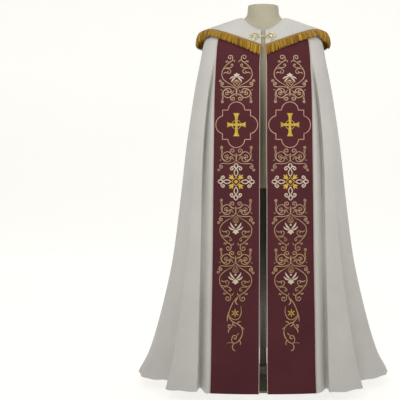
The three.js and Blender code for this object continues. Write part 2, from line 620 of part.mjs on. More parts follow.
// The dress form: its neck, then the mantle's own surface moved in, then its chest, waist and hips
const NECK_RINGS = [
  { sideX: 59, sideZ: 1492, frontY: 58, frontZ: 1492, backY: 58, backZ: 1492, square: 2 },
  { sideX: 61, sideZ: 1489, frontY: 60, frontZ: 1489, backY: 60, backZ: 1489, square: 2 },
  { sideX: 62, sideZ: 1470, frontY: 61, frontZ: 1458, backY: 60, backZ: 1474, square: 2 },
  { sideX: 64, sideZ: 1455, frontY: 63, frontZ: 1425, backY: 62, backZ: 1464, square: 2 },
  { sideX: 70, sideZ: 1446, frontY: 68, frontZ: 1397, backY: 66, backZ: 1452, square: 2 },
];
const SHOULDER_ROWS = [
  { t: 0, inset: 3.4 }, { t: 0.6, inset: 2.8 }, { t: 1.3, inset: 2.8 }, { t: 2, inset: 2.9 },
  { t: 2.7, inset: 4 },
];
const BODY_RINGS = [
  { sideX: 200, sideZ: 1372, frontY: 119, frontZ: 1296, backY: 128, backZ: 1346, square: 2.4 },
  { sideX: 196, sideZ: 1320, frontY: 121, frontZ: 1255, backY: 125, backZ: 1290, square: 2.3 },
  { sideX: 178, sideZ: 1200, frontY: 122, frontZ: 1190, backY: 118, backZ: 1200, square: 2.2 },
  { sideX: 155, sideZ: 1090, frontY: 112, frontZ: 1090, backY: 103, backZ: 1090, square: 2.1 },
  { sideX: 142, sideZ: 1010, frontY: 104, frontZ: 1010, backY: 98, backZ: 1010, square: 2.1 },
  { sideX: 158, sideZ: 910, frontY: 112, frontZ: 910, backY: 112, backZ: 910, square: 2.1 },
  { sideX: 170, sideZ: 830, frontY: 116, frontZ: 830, backY: 122, backZ: 830, square: 2.15 },
  { sideX: 166, sideZ: 785, frontY: 112, frontZ: 785, backY: 118, backZ: 785, square: 2.15 },
  { sideX: 155, sideZ: 774, frontY: 101, frontZ: 774, backY: 107, backZ: 774, square: 2.15 },
];
const FORM_GIRTHS = [0.27, 0.5, 0.73, 0.97, 1.1, 1.22, 1.33, 1.42, 1.5, 1.58, 1.67, 1.76, 1.85, 1.93, 2];
const round = (half, front) => [front, ...half[RIGHT], ...half[LEFT].slice(0, -1).reverse()];
function formRing(section) {
  const outline = halfOutline(section, 0);
  const half = {};
  for (const side of [LEFT, RIGHT]) {
    half[side] = FORM_GIRTHS.map((girth) => {
      const { point } = alongOutline(outline, lengthAtGirth(outline.length, girth));
      return point.setX(girth === 2 ? 0 : side * point.x);
    });
  }
  return round(half, outlinePoint(section, 0));
}
function shoulderRing({ t, inset }) {
  const section = readTable(SECTIONS, t);
  const half = {};
  for (const side of [LEFT, RIGHT]) {
    half[side] = FORM_GIRTHS.map((girth) => movedOut(onMantle(side, girth, t), -inset));
  }
  const front = { point: outlinePoint(section, 0), normal: onMantle(RIGHT, 0, t).normal.setX(0) };
  return round(half, movedOut(front, -inset));
}
const neckAndShoulders = [...NECK_RINGS.map(formRing), ...SHOULDER_ROWS.map(shoulderRing)];
add('form_torso', ringed([...neckAndShoulders, ...BODY_RINGS.map(formRing)]), jersey());

// The stand: a pole, and a round foot with a hub
function turned(profile, steps) {
  const rings = profile.map(([radius, z]) => Array.from({ length: steps }, (_, k) => {
    const angle = (2 * Math.PI * k) / steps;
    return new THREE.Vector3(radius * Math.cos(angle), radius * Math.sin(angle), z);
  }));
  return ringed(rings);
}
const POLE_RADIUS = 14;
const POLE_STEPS = 24;
const FOOT_STEPS = 48;
const HUB_TOP = 58;
const TORSO_BOTTOM = BODY_RINGS[BODY_RINGS.length - 1].sideZ;
const FOOT = [[22, HUB_TOP], [26, HUB_TOP - 4], [28, 24], [60, 17], [182, 12], [190, 8], [190, 0]];
const POLE = [[POLE_RADIUS, TORSO_BOTTOM - GAP], [POLE_RADIUS, HUB_TOP + GAP]];
add('stand_pole', turned(POLE, POLE_STEPS), enamel());
add('stand_foot', turned(FOOT, FOOT_STEPS), enamel());

export default group;
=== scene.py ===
import math

import bpy
import numpy as np
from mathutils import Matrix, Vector
from mathutils.bvhtree import BVHTree


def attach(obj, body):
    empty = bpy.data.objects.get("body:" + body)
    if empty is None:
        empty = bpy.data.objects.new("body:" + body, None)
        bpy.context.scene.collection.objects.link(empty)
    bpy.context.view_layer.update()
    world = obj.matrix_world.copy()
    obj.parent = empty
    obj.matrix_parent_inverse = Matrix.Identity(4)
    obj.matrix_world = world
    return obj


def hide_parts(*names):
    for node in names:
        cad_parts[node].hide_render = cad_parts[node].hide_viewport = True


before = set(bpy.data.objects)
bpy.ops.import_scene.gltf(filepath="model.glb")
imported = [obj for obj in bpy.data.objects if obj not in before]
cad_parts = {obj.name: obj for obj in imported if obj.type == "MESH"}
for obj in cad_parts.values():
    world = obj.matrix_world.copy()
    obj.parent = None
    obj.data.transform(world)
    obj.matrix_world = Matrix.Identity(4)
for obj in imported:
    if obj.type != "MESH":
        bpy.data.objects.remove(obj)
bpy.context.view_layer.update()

# Lengths below are in millimetres, and meshes are made in metres
MM = 0.001
RIGHT, LEFT = 1, -1
SIDES = ((LEFT, "left"), (RIGHT, "right"))
rng = np.random.default_rng(7)

# Sections of the mantle from the neckline to the hem: side x, side z, front y, front z, back y, back z,
# squareness, half the front opening
SECTIONS = np.array([
    [82, 1441, 78, 1386, 74, 1447, 2.0, 8],
    [120, 1428, 98, 1368, 98, 1432, 2.1, 8],
    [165, 1412, 114, 1345, 120, 1408, 2.3, 8],
    [203, 1395, 126, 1318, 136, 1376, 2.5, 8],
    [226, 1370, 134, 1286, 147, 1338, 2.6, 10],
    [238, 1330, 140, 1248, 155, 1290, 2.6, 12],
    [249, 1270, 146, 1198, 163, 1225, 2.6, 12],
    [273, 1150, 153, 1108, 175, 1118, 2.5, 12],
    [303, 955, 168, 938, 195, 940, 2.45, 12],
    [329, 738, 193, 734, 224, 735, 2.45, 13],
    [360, 510, 229, 510, 262, 510, 2.5, 13],
    [404, 300, 269, 300, 299, 300, 2.55, 14],
    [452, 130, 304, 130, 326, 130, 2.6, 14],
    [497, 40, 329, 40, 331.6, 40, 2.6, 15],
])
LAST = len(SECTIONS) - 1
OUTLINE_POINTS = 361
HEM_Z = 40.0
CLOTH, ORPHREY_CLOTH, GAP = 2.0, 1.2, 0.35
# The outer faces of an orphrey and of the hood's panel, above the cloth's grid
ORPHREY_FACE = GAP + ORPHREY_CLOTH
PANEL_FACE = CLOTH + ORPHREY_FACE
# An orphrey's width, and the share of half the outline that it may take near the neckline
ORPHREY_WIDTH, BAND_SHARE = 180.0, 0.375
SIDE_SEAM = 0.4

# Troughs between the folds: place at the top and at the hem, reach before and after, depth, the height
# where it begins, and how it grows; places and reaches are shares of the way from orphrey to centre back
TROUGHS = np.array([
    [0.165, 0.188, 0.036, 0.19, 84, 900, 1.5],
    [0.47, 0.53, 0.06, 0.06, 92, 1280, 0.9],
    [0.63, 0.665, 0.055, 0.055, 62, 1290, 0.8],
    [0.78, 0.82, 0.05, 0.05, 96, 1240, 0.8],
])

# Slight folds of the cloth between the main ones: side, place at the top and at the hem, reach, depth, the
# height where it begins, the height where it ends (0 at the hem)
RIPPLES = np.array([
    [RIGHT, 0.215, 0.275, 0.055, 3, 1230, 300],
    [LEFT, 0.232, 0.300, 0.060, 4, 1180, 120],
    [RIGHT, 0.350, 0.365, 0.024, 5, 1000, 0],
    [LEFT, 0.365, 0.352, 0.026, 6, 900, 0],
    [RIGHT, 0.560, 0.590, 0.022, 6, 1200, 200],
    [LEFT, 0.575, 0.600, 0.020, 5, 1150, 0],
    [RIGHT, 0.720, 0.735, 0.020, 6, 1150, 0],
    [LEFT, 0.712, 0.745, 0.022, 5, 1220, 300],
    [RIGHT, 0.905, 0.915, 0.030, 4, 1150, 200],
    [LEFT, 0.930, 0.920, 0.030, 3, 1050, 0],
])
# The heights over which a ripple fades in below its beginning, and out round its end
FADE_IN, FADE_OUT = 160, 120

# The first crease: its distance beyond the orphrey at its top and in full, the heights where it begins and
# is in full, its reach past its line, how sharply it drops before and rises after it, its depths by height
CREASE_TOP, CREASE_PLACE, CREASE_BEGIN, CREASE_FULL = 2, 43, 1275, 800
CREASE_REACH, CREASE_DROP, CREASE_RISE = 6, 4, 1.6
CREASE_DEPTH = np.array([[40, 50], [300, 38], [490, 25], [700, 28], [950, 38], [1140, 26], [1275, 0]]).T

# The hem's wave: how far up it reaches, and its height
HEM_REACH, HEM_WAVE = 45, 1.9


def smooth(v):
    """A soft step from 0 to 1."""
    v = np.clip(v, 0, 1)
    return v * v * (3 - 2 * v)


def unit(v):
    return v / np.maximum(np.linalg.norm(v, axis=-1, keepdims=True), 1e-9)


def without(v, way):
    """A vector without its part along a direction."""
    return v - way * (v * way).sum(-1, keepdims=True)


def lengths_along(points, axis=0):
    """Lengths along a path, or along the lines of a grid that run with an axis."""
    steps = np.linalg.norm(np.diff(points, axis=axis), axis=-1)
    return np.cumsum(np.insert(steps, 0, 0, axis=axis), axis=axis)


def at_lengths(at, along, field):
    """A field given at lengths along a path, read at other lengths."""
    return np.stack([np.interp(at, along, column) for column in field.T], 1)


def read_table(table, at):
    """A smooth curve through a table's rows, read at row numbers that may lie between two rows."""
    at = np.asarray(at, float)
    row = np.clip(np.floor(at).astype(int), 0, len(table) - 2)
    u = (at - row)[..., None]
    a, b, c, d = (table[np.clip(row + k, 0, len(table) - 1)] for k in (-1, 0, 1, 2))
    return b + 0.5 * u * (c - a + u * (2 * a - 5 * b + 4 * c - d + u * (3 * (b - c) + d - a)))


def outline_points(section, angles):
    """Points of a section's outline at angles from the front."""
    side_x, side_z, front_y, front_z, back_y, back_z, power = section[:7]
    front = np.cos(angles) > 0
    across = np.abs(np.sin(angles) / side_x) ** power
    along = np.abs(np.cos(angles) / np.where(front, front_y, back_y)) ** power
    radius = (across + along) ** (-1 / power)
    x = radius * np.sin(angles)
    end_z = np.where(front, front_z, back_z)
    return np.stack([x, -radius * np.cos(angles), end_z + (side_z - end_z) * (x / side_x) ** 2], -1)


_outlines = {}


def half_outline(t):
    """Half an outline from the front edge to the centre back: the section, its angles, their lengths."""
    key = round(float(t), 5)
    if key not in _outlines:
        section = read_table(SECTIONS, t)
        opening = section[7]
        first = opening / section[2]
        for _ in range(4):
            first *= opening / outline_points(section, np.array(first))[0]
        angles = np.linspace(first, math.pi, OUTLINE_POINTS)
        _outlines[key] = (section, angles, lengths_along(outline_points(section, angles)))
    return _outlines[key]


def half_length(t):
    return half_outline(t)[2][-1]


def band_width(t):
    return min(ORPHREY_WIDTH, BAND_SHARE * half_length(t))


def along_outline(t, lengths_at):
    """Places and sideways directions at lengths along half an outline."""
    section, angles, lengths = half_outline(t)
    angle = np.interp(lengths_at, lengths, angles)
    run = outline_points(section, angle + 1e-3) - outline_points(section, angle - 1e-3)
    run[..., 2] = 0
    return outline_points(section, angle), unit(run)


def first_crease(beyond, z):
    """How far the cloth falls straight back beside the orphrey, at a distance beyond the orphrey's edge."""
    down = np.clip((CREASE_BEGIN - z) / (CREASE_BEGIN - CREASE_FULL), 0, 1)
    place = CREASE_TOP + (CREASE_PLACE - CREASE_TOP) * (1 - (1 - down) ** 2)
    past = beyond - place
    off = np.where(past < 0, -past / place, past / CREASE_REACH)
    shape = np.cos(math.pi / 2 * np.clip(off, 0, 1)) ** np.where(past < 0, CREASE_DROP, CREASE_RISE)
    return np.interp(z, *CREASE_DEPTH) * shape


def fold_depth(side, share, z):
    """How far the folds dip at a share of the way from the orphrey to the centre back."""
    depth = np.zeros_like(share)
    # Each trough wanders a little and is uneven, in opposite ways on the two sides
    for k, (top, hem, before, after, deep, begin, growth) in enumerate(TROUGHS, 1):
        down = np.clip((begin - z) / (begin - HEM_Z), 0, 1)
        wander = side * 0.005 * math.sin(1.7 * k + 0.4)
        uneven = 1 + side * 0.12 * math.sin(2.3 * k + 0.6)
        past = share - (top + (hem - top) * down + wander)
        off = np.where(past < 0, -past / before, past / after)
        depth += deep * uneven * down ** growth * np.cos(math.pi / 2 * np.minimum(off, 1)) ** 2
    for _, top, hem, reach, deep, begin, end in RIPPLES[RIPPLES[:, 0] == side]:
        down = np.clip((begin - z) / (begin - HEM_Z), 0, 1)
        off = (share - (top + (hem - top) * down)) / reach
        ending = smooth((z - end) / FADE_OUT + 0.5) if end else 1
        depth += deep * smooth((begin - z) / FADE_IN) * ending * np.exp(-2 * off ** 2)
    return depth


def mantle_row(side, girth, t):
    """Points of the mantle's outer face along one row. Girth runs from 0 at the front edge to 1 at the
    orphrey's far edge and on to 2 at the centre back."""
    band = band_width(t)
    rest = half_length(t) - band
    point, run = along_outline(t, np.where(girth < 1, girth * band, band + (girth - 1) * rest))
    z = point[:, 2]
    share = np.clip(girth - 1, 0, 1)
    depth = np.where(girth > 1, fold_depth(side, share, z), 0)
    back = np.where(girth > 1, first_crease(share * rest, z), 0)
    near_hem = smooth((HEM_Z + HEM_REACH - z) / HEM_REACH) * smooth(share * 60)
    wave = np.sin(41 * share + side) + 0.7 * np.sin(97 * share + 2 * side)
    x = side * (point[:, 0] - run[:, 1] * depth)
    return np.stack([x, point[:, 1] + run[:, 0] * depth + back, z + HEM_WAVE * near_hem * wave], -1)


def grid_normals(grid, side):
    """Outward normals of a grid whose rows run down and whose columns run from the front to the back."""
    return unit(np.cross(np.gradient(grid, axis=1), np.gradient(grid, axis=0)) * -side)


def mesh_object(name, points, faces, uvs=None):
    """A smooth mesh from points in millimetres and faces, riding on the frame's one body."""
    mesh = bpy.data.meshes.new(name)
    mesh.from_pydata((np.asarray(points) * MM).tolist(), [], [list(map(int, face)) for face in faces])
    if uvs is not None:
        layer = mesh.uv_layers.new(name="UVMap")
        loops = np.zeros(len(mesh.loops), np.int32)
        mesh.loops.foreach_get("vertex_index", loops)
        layer.data.foreach_set("uv", np.asarray(uvs, np.float32)[loops].ravel())
    mesh.validate()
    mesh.polygons.foreach_set("use_smooth", np.ones(len(mesh.polygons), bool))
    obj = bpy.data.objects.new(name, mesh)
    bpy.context.scene.collection.objects.link(obj)
    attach(obj, "root")
    return obj


def dressed(piece, material, node=None):
    """A piece with its material and the CAD node that it stands for."""
    piece.data.materials.append(material)
    if node:
        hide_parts(node)
    return piece


def turned_over(faces):
    """Quads that face the other way and begin at the same corner."""
    return np.roll(faces[:, ::-1], 1, axis=1)


def grid_faces(rows, columns):
    """Quads of an open grid of points."""
    r, c = np.meshgrid(np.arange(rows - 1), np.arange(columns - 1), indexing="ij")
    a = (r * columns + c).ravel()
    return np.stack([a, a + 1, a + columns + 1, a + columns], 1)


def ring_faces(rows, columns, closed=False):
    """Quads of a tube of points whose every row is a ring; a closed tube's last row meets its first."""
    r, c = np.meshgrid(np.arange(rows if closed else rows - 1), np.arange(columns), indexing="ij")
    here, after, along = r * columns, (r + 1) % rows * columns, (c + 1) % columns
    return np.stack([here + c, here + along, after + along, after + c], -1).reshape(-1, 4)


def wall_object(name, grid, normals, outside, inside, side=RIGHT):
    """A closed thin wall that follows a grid between two distances from it, with UVs in metres."""
    rows, columns = grid.shape[:2]
    points = np.concatenate([(grid + normals * d).reshape(-1, 3) for d in (outside, inside)])
    back = rows * columns
    inner = grid_faces(rows, columns)
    first = np.arange(rows - 1) * columns
    last = first + columns - 1
    top = np.arange(columns - 1)
    low = (rows - 1) * columns + top
    faces = np.concatenate([
        turned_over(inner), inner + back,
        np.stack([first, back + first, back + first + columns, first + columns], 1),
        np.stack([last, last + columns, back + last + columns, back + last], 1),
        np.stack([top, top + 1, back + top + 1, back + top], 1),
        np.stack([low, back + low, back + low + 1, low + 1], 1),
    ])
    uvs = np.stack([lengths_along(grid, 1), -lengths_along(grid, 0)], -1).reshape(-1, 2) * MM
    return mesh_object(name, points, faces[:, ::-1] if side == LEFT else faces, np.concatenate([uvs, uvs]))


# Materials
class Finish:
    """A material in the making. A node's settings go by their names in Blender, with _ for a space, and a
    setting that is another node's output is linked in."""

    def __init__(self, name, **settings):
        self.material = bpy.data.materials.new(name)
        self.material.use_nodes = True
        self.tree = self.material.node_tree
        self.shader = self.tree.nodes["Principled BSDF"]
        self.set(self.shader, **settings)
        coords = self.node("TexCoord").outputs
        self.uv, self.place = coords["UV"], coords["Object"]

    def set(self, node, **settings):
        for key, value in settings.items():
            name = key.replace("_", " ")
            if name not in node.inputs:
                setattr(node, key, value)
            elif isinstance(value, bpy.types.NodeSocket):
                self.tree.links.new(value, node.inputs[name])
            else:
                node.inputs[name].default_value = value

    def node(self, kind, **settings):
        node = self.tree.nodes.new("ShaderNode" + kind)
        self.set(node, **settings)
        return node

    def texture(self, kind, **settings):
        return self.node("Tex" + kind, **settings).outputs["Fac"]

    def combined(self, operation, first, second):
        node = self.node("Math", operation=operation)
        self.tree.links.new(first, node.inputs[0])
        self.tree.links.new(second, node.inputs[1])
        return node.outputs[0]

    def ramp(self, source, *stops):
        node = self.node("ValToRGB", Fac=source)
        elements = node.color_ramp.elements
        for k, (place, colour) in enumerate(stops):
            element = elements[k] if k < 2 else elements.new(place)
            element.position = place
            element.color = (*colour, 1)
        return node.outputs["Color"]

    def coloured(self, colour, shade, amount):
        """The shader's colour is a colour multiplied, by an amount, by a shade."""
        mix = self.node("Mix", data_type="RGBA", blend_type="MULTIPLY")
        mix.inputs[0].default_value = amount
        self.tree.links.new(colour, mix.inputs[6])
        self.tree.links.new(shade, mix.inputs[7])
        self.set(self.shader, Base_Color=mix.outputs[2])

    def relief(self, height, strength, distance):
        bump = self.node("Bump", Height=height, Strength=strength, Distance=distance)
        self.set(self.shader, Normal=bump.outputs["Normal"])


def srgb(r, g, b):
    """An 8-bit display colour as linear values."""
    return tuple(((v / 255 + 0.055) / 1.055) ** 2.4 if v > 10 else v / 255 / 12.92 for v in (r, g, b))


def grey(v):
    return v, v, v


def cloth_material(name, dark, light, weave, rough, sheen, bump):
    """Woven cloth: mottled colour, threads in two directions over UVs in metres, slubs and a soft sheen."""
    make = Finish(name, Roughness=rough, Sheen_Weight=sheen, Sheen_Roughness=0.4, Specular_IOR_Level=0.3)
    mottle = make.texture("Noise", Vector=make.place, Scale=6.0, Detail=5.0, Roughness=0.6)
    threads = [
        make.texture("Wave", Vector=make.uv, Scale=weave, Distortion=1.2, Detail=2.0, Detail_Scale=0.4,
                     bands_direction=direction)
        for direction in ("X", "Y")
    ]
    stretch = make.node("Mapping", Vector=make.uv, Scale=(1.0, 0.12, 1.0)).outputs["Vector"]
    slub = make.texture("Noise", Vector=stretch, Scale=130.0, Detail=4.0, Roughness=0.7)
    height = make.combined("ADD", make.combined("MULTIPLY", *threads), slub)
    make.coloured(make.ramp(mottle, (0.3, dark), (0.7, light)),
                  make.ramp(height, (0.35, grey(0.72)), (1.0, grey(1))), 0.35)
    make.relief(height, bump, 0.0006)
    return make.material


def braid_material(name, dark, light, scale, metallic):
    """A cord's or a braid's threads, laid on the slant."""
    make = Finish(name, Roughness=0.5, Metallic=metallic)
    slant = make.node("Mapping", Vector=make.uv, Rotation=(0, 0, math.radians(40))).outputs["Vector"]
    wave = make.texture("Wave", Vector=slant, Scale=scale, Distortion=0.6)
    make.set(make.shader, Base_Color=make.ramp(wave, (0.2, dark), (0.8, light)))
    make.relief(wave, 0.6, 0.0008)
    return make.material


def fringe_material():
    """Twisted metal-gold thread: each strand keeps one tone, told by its UV."""
    make = Finish("fringe_thread", Roughness=0.5, Metallic=0.1)
    strand = make.node("SeparateXYZ", Vector=make.uv).outputs["X"]
    tone = make.ramp(strand, (0.0, srgb(104, 70, 10)), (0.35, srgb(161, 116, 17)), (0.7, srgb(199, 154, 32)),
                     (1.0, srgb(231, 196, 86)))
    twist = make.texture("Wave", Vector=make.uv, Scale=170.0, Distortion=0.8)
    make.coloured(tone, make.ramp(twist, (0.1, grey(0.55)), (0.7, grey(1))), 0.35)
    return make.material


def plain_material(name, dark, light, scale, rough, metallic, bump):
    """A mottled solid finish, for the metal, the enamel and the floor."""
    make = Finish(name, Metallic=metallic)
    noise = make.texture("Noise", Vector=make.place, Scale=scale, Detail=6.0, Roughness=0.6)
    mottled = make.node("MapRange", Value=noise, To_Min=rough - 0.08, To_Max=rough + 0.08)
    make.set(make.shader, Base_Color=make.ramp(noise, (0.35, dark), (0.65, light)),
             Roughness=mottled.outputs["Result"])
    make.relief(noise, bump, 0.0005)
    return make.material


def thread_material(name, dark, light, rough=0.38, metallic=0.0):
    """Satin stitch: fine ridges across the line, with a silky sheen and a mottled tone."""
    make = Finish(name, Roughness=rough, Metallic=metallic, Sheen_Weight=0.2)
    ridges = make.texture("Wave", Vector=make.uv, Scale=520.0, Distortion=1.5, Detail=1.0)
    mottle = make.texture("Noise", Vector=make.place, Scale=45.0, Detail=3.0)
    make.coloured(make.ramp(mottle, (0.3, dark), (0.7, light)),
                  make.ramp(ridges, (0.1, grey(0.6)), (0.6, grey(1))), 0.4)
    make.relief(ridges, 0.5, 0.0004)
    return make.material


cream = cloth_material("cream_weave", srgb(202, 200, 195), srgb(210, 208, 203), 420, 0.75, 0.1, 0.3)
burgundy = cloth_material("burgundy_weave", srgb(76, 30, 37), srgb(88, 37, 44), 420, 0.85, 0.02, 0.3)
jersey = cloth_material("form_jersey", srgb(176, 170, 148), srgb(188, 182, 160), 900, 0.85, 0.2, 0.25)
rim = braid_material("pale_cord", srgb(186, 164, 150), srgb(222, 204, 190), 260, 0.0)
galloon = braid_material("gold_cord", srgb(158, 126, 74), srgb(214, 186, 132), 260, 0.2)
galloon_band = braid_material("gold_band", srgb(128, 94, 30), srgb(186, 148, 66), 200, 0.15)
fringe_gold = fringe_material()
gilt = plain_material("pale_gilt", srgb(214, 204, 158), srgb(244, 238, 206), 60, 0.28, 0.8, 0.1)
enamel = plain_material("stand_enamel", srgb(100, 96, 88), srgb(122, 118, 110), 90, 0.42, 0.1, 0.15)
THREADS = {
    thread: thread_material("thread_" + name, srgb(*dark), srgb(*light), *finish)
    for thread, name, dark, light, *finish in (
        ("beige", "beige", (182, 150, 116), (212, 180, 144)),
        ("old", "old_gold", (170, 136, 90), (204, 170, 120)),
        ("rose", "rose_beige", (196, 150, 128), (214, 172, 146)),
        ("ivory", "ivory", (212, 192, 168), (232, 214, 192)),
        ("gold", "bright_gold", (196, 160, 44), (222, 188, 66), 0.32, 0.15),
        ("yellow", "yellow", (204, 166, 48), (226, 192, 74)),
    )
}


# Round threads, cords and wires
def circle(count):
    """Angles all the way round."""
    return np.linspace(0, 2 * math.pi, count, endpoint=False)


def tube(path, up, radius, sides=6, closed=False):
    """Points and faces of a round wire along a path."""
    path = np.asarray(path, float)
    count = len(path)
    way = unit(np.roll(path, -1, 0) - np.roll(path, 1, 0) if closed else np.gradient(path, axis=0))
    across = unit(np.cross(way, np.broadcast_to(up, path.shape)))
    up = np.cross(across, way)
    angles = circle(sides)[None, :, None]
    radius = np.broadcast_to(radius, count)[:, None, None]
    points = path[:, None] + radius * (np.cos(angles) * up[:, None] + np.sin(angles) * across[:, None])
    faces = ring_faces(count, sides, closed).tolist()
    if not closed:
        faces += [list(range(sides))[::-1], list(range((count - 1) * sides, count * sides))]
    return points.reshape(-1, 3), faces


def merged(parts):
    """Several sets of points and faces as one set."""
    points, faces, total = [], [], 0
    for some, their_faces in parts:
        points.append(some)
        faces += [[total + v for v in face] for face in their_faces]
        total += len(some)
    return np.concatenate(points), faces


# A cord's step along its path, and in shares of its thickness a turn's length, a ply's place and its radius
CORD_STEP, TWIST, PLY_PLACE, PLY_RADIUS = 1.7, 2.6, 0.22, 0.29


def cord(name, path, normals, lift, thick, material, node=None):
    """Two plies twisted round each other, laid along a path on the cloth."""
    along = lengths_along(path)
    at = np.linspace(0, along[-1], max(3, int(round(along[-1] / CORD_STEP)) + 1))
    path, normals = at_lengths(at, along, path), at_lengths(at, along, normals)
    across = unit(np.cross(np.gradient(path, axis=0), normals))
    along = lengths_along(path)
    phase = along[:, None] * (2 * math.pi / (thick * TWIST))
    parts = []
    for turn in (0, math.pi):
        ply = np.cos(phase + turn) * normals + np.sin(phase + turn) * across
        parts.append(tube(path + normals * lift + ply * thick * PLY_PLACE, normals, thick * PLY_RADIUS))
    uvs = np.stack([np.tile(np.arange(6), 2 * len(path)) / 3, np.tile(np.repeat(along, 6), 2)], 1) * MM
    return dressed(mesh_object(name, *merged(parts), uvs), material, node)


def edge_cords(names, grid, normals, inset, lift, thick, material):
    """A cord along the first and the last column of a band; names has each cord's name and its CAD node's."""
    cords = []
    for (name, node), edge, inner in zip(names, (0, -1), (1, -2)):
        line = grid[:, edge] + unit(grid[:, inner] - grid[:, edge]) * inset
        cords.append(cord(name, line, normals[:, edge], lift, thick, material, node))
    return cords


# The mantle's three panels
MANTLE_T = np.concatenate([np.linspace(0, 2.9, 26), np.linspace(3, 6.8, 26), np.linspace(7, LAST, 90)])
# The fronts' columns stand closer together beside the orphrey: where that ends, and the two steps
NEAR_END, NEAR_STEP, STEP = 0.085, 0.0022, 0.0042
near = np.arange(0, NEAR_END, NEAR_STEP)
far_begin = near[-1] + NEAR_STEP
far = np.linspace(far_begin, SIDE_SEAM, int(round((SIDE_SEAM - far_begin) / STEP)))
front_shares = np.concatenate([near, far])
under_orphrey = np.linspace(0, 1, 13)[:-1]
BACK_COLUMNS = 142
# The cloth is turned in along a seam: how deep, and over what distance
SEAM_DEPTH, SEAM_REACH = 0.9, 3.2


def seam_half(t):
    return 0.5 * GAP / (half_length(t) - band_width(t))


def pressed(grid, normals, from_seam):
    """The cloth turned in along a seam, in the last few millimetres beside it."""
    return grid - normals * (SEAM_DEPTH * np.exp(-((from_seam / SEAM_REACH) ** 2)))[..., None]


def to_end(grid):
    along = lengths_along(grid, 1)
    return along[:, -1:] - along


def front_girth(t):
    return np.concatenate([under_orphrey, 1 + front_shares * ((SIDE_SEAM - seam_half(t)) / SIDE_SEAM)])


def back_girth(t):
    return 1 + np.linspace(SIDE_SEAM + seam_half(t), 1, BACK_COLUMNS)


def mantle_grid(side, girth_at, rows_at):
    return np.array([mantle_row(side, girth_at(t), t) for t in rows_at])


for side, word in SIDES:
    grid = mantle_grid(side, front_girth, MANTLE_T)
    normals = grid_normals(grid, side)
    grid = pressed(grid, normals, to_end(grid))
    piece = wall_object(f"mantle_front_{word}_cloth", grid, normals, 0, -CLOTH, side)
    dressed(piece, cream, f"mantle_front_{word}")

halves = [mantle_grid(side, back_girth, MANTLE_T) for side in (RIGHT, LEFT)]
grid = np.concatenate([halves[0], halves[1][:, ::-1][:, 1:]], 1)
grid[:, BACK_COLUMNS - 1, 0] = 0
normals = grid_normals(grid, RIGHT)
grid = pressed(grid, normals, np.minimum(to_end(grid), lengths_along(grid, 1)))
mantle_back = wall_object("mantle_back_cloth", grid, normals, 0, -CLOTH)
dressed(mantle_back, cream, "mantle_back")

# The orphreys and their braids
BAND_U = np.linspace(0, 1, 37)
ORPHREY_T = np.concatenate([np.linspace(2, 6.8, 40), np.linspace(7, LAST, 100)])
# A braid's distance in from its edge, which is also its height over the face, and its thickness
BRAID_IN, BRAID_THICK = 1.1, 3.3
bands = {}
on_orphrey = {}
for side, word in SIDES:
    grid = mantle_grid(side, lambda t: BAND_U, ORPHREY_T)
    normals = grid_normals(grid, side)
    bands[side] = (grid, normals)
    piece = wall_object(f"orphrey_{word}_cloth", grid, normals, ORPHREY_FACE, GAP, side)
    dressed(piece, burgundy, f"orphrey_{word}")
    names = [(f"orphrey_{word}_{part}_cord", f"orphrey_{word}_{part}_braid") for part in ("inner", "outer")]
    cords = edge_cords(names, grid, normals, BRAID_IN, ORPHREY_FACE + BRAID_IN, BRAID_THICK, rim)
    on_orphrey[side] = (piece, cords)

# The hood: its edge in front and at the back as distances from the middle and heights, and the distance of
# its hem below that edge
FRONT_LINE = np.array([
    [0, 1322], [12, 1325], [73, 1346], [130, 1366], [187, 1385], [207, 1386], [220, 1378], [228, 1369],
    [260, 1335],
], float)
BACK_LINE = np.array([
    [0, 1103], [50, 1150], [97, 1195], [130, 1240], [162, 1291], [190, 1328], [207, 1346], [220, 1360],
    [228, 1369], [260, 1400],
], float)
HOOD_HEM = 7.0
# Half the panel's width, and how much narrower it is at the neck
PANEL_HALF, PANEL_NARROWS = 99, 13
# The hood's distance from the mantle at the neck and below, and the row where it has that
NECK_OFF, HOOD_OFF, OFF_ROW = 1.1, 4.8, 0.6
# The shoulders' corners flare: where that begins and is in full, its reach in depth, how far out and up
FLARE_BEGIN, FLARE_WIDTH, FLARE_DEPTH, FLARE_OUT, FLARE_UP = 168, 55, 70, 23, 3
hood_t = np.linspace(0, 10, 501)
reaches = np.concatenate([np.linspace(0, 1, 91)[:-1], np.linspace(1, 2, 56)])
middle_column = len(reaches) - 1


def hood_base(t):
    """One row of the mantle's outline, without folds, with a column at the edge of the hood's panel."""
    length = half_length(t)
    panel = PANEL_HALF - PANEL_NARROWS * smooth(1 - t / 4)
    at = np.where(reaches < 1, reaches * (length - panel), length - (2 - reaches) * panel)
    return along_outline(t, at)[0]


base = np.array([hood_base(t) for t in hood_t])
base = np.concatenate([base, base[:, ::-1][:, 1:] * [-1, 1, 1]], 1)
base[:, middle_column, 0] = 0
standoff = NECK_OFF + (HOOD_OFF - NECK_OFF) * smooth(hood_t / OFF_ROW)
hood_face = base + grid_normals(base, RIGHT) * standoff[:, None, None]
x, y, z = np.moveaxis(base, -1, 0)
flare = np.clip((np.abs(x) - FLARE_BEGIN) / FLARE_WIDTH, 0, 1) ** 2 * np.exp(-((y / FLARE_DEPTH) ** 2))
hood_face += np.stack([np.sign(x) * FLARE_OUT * flare, 0 * flare, FLARE_UP * flare], -1)
hood_normals = grid_normals(hood_face, RIGHT)

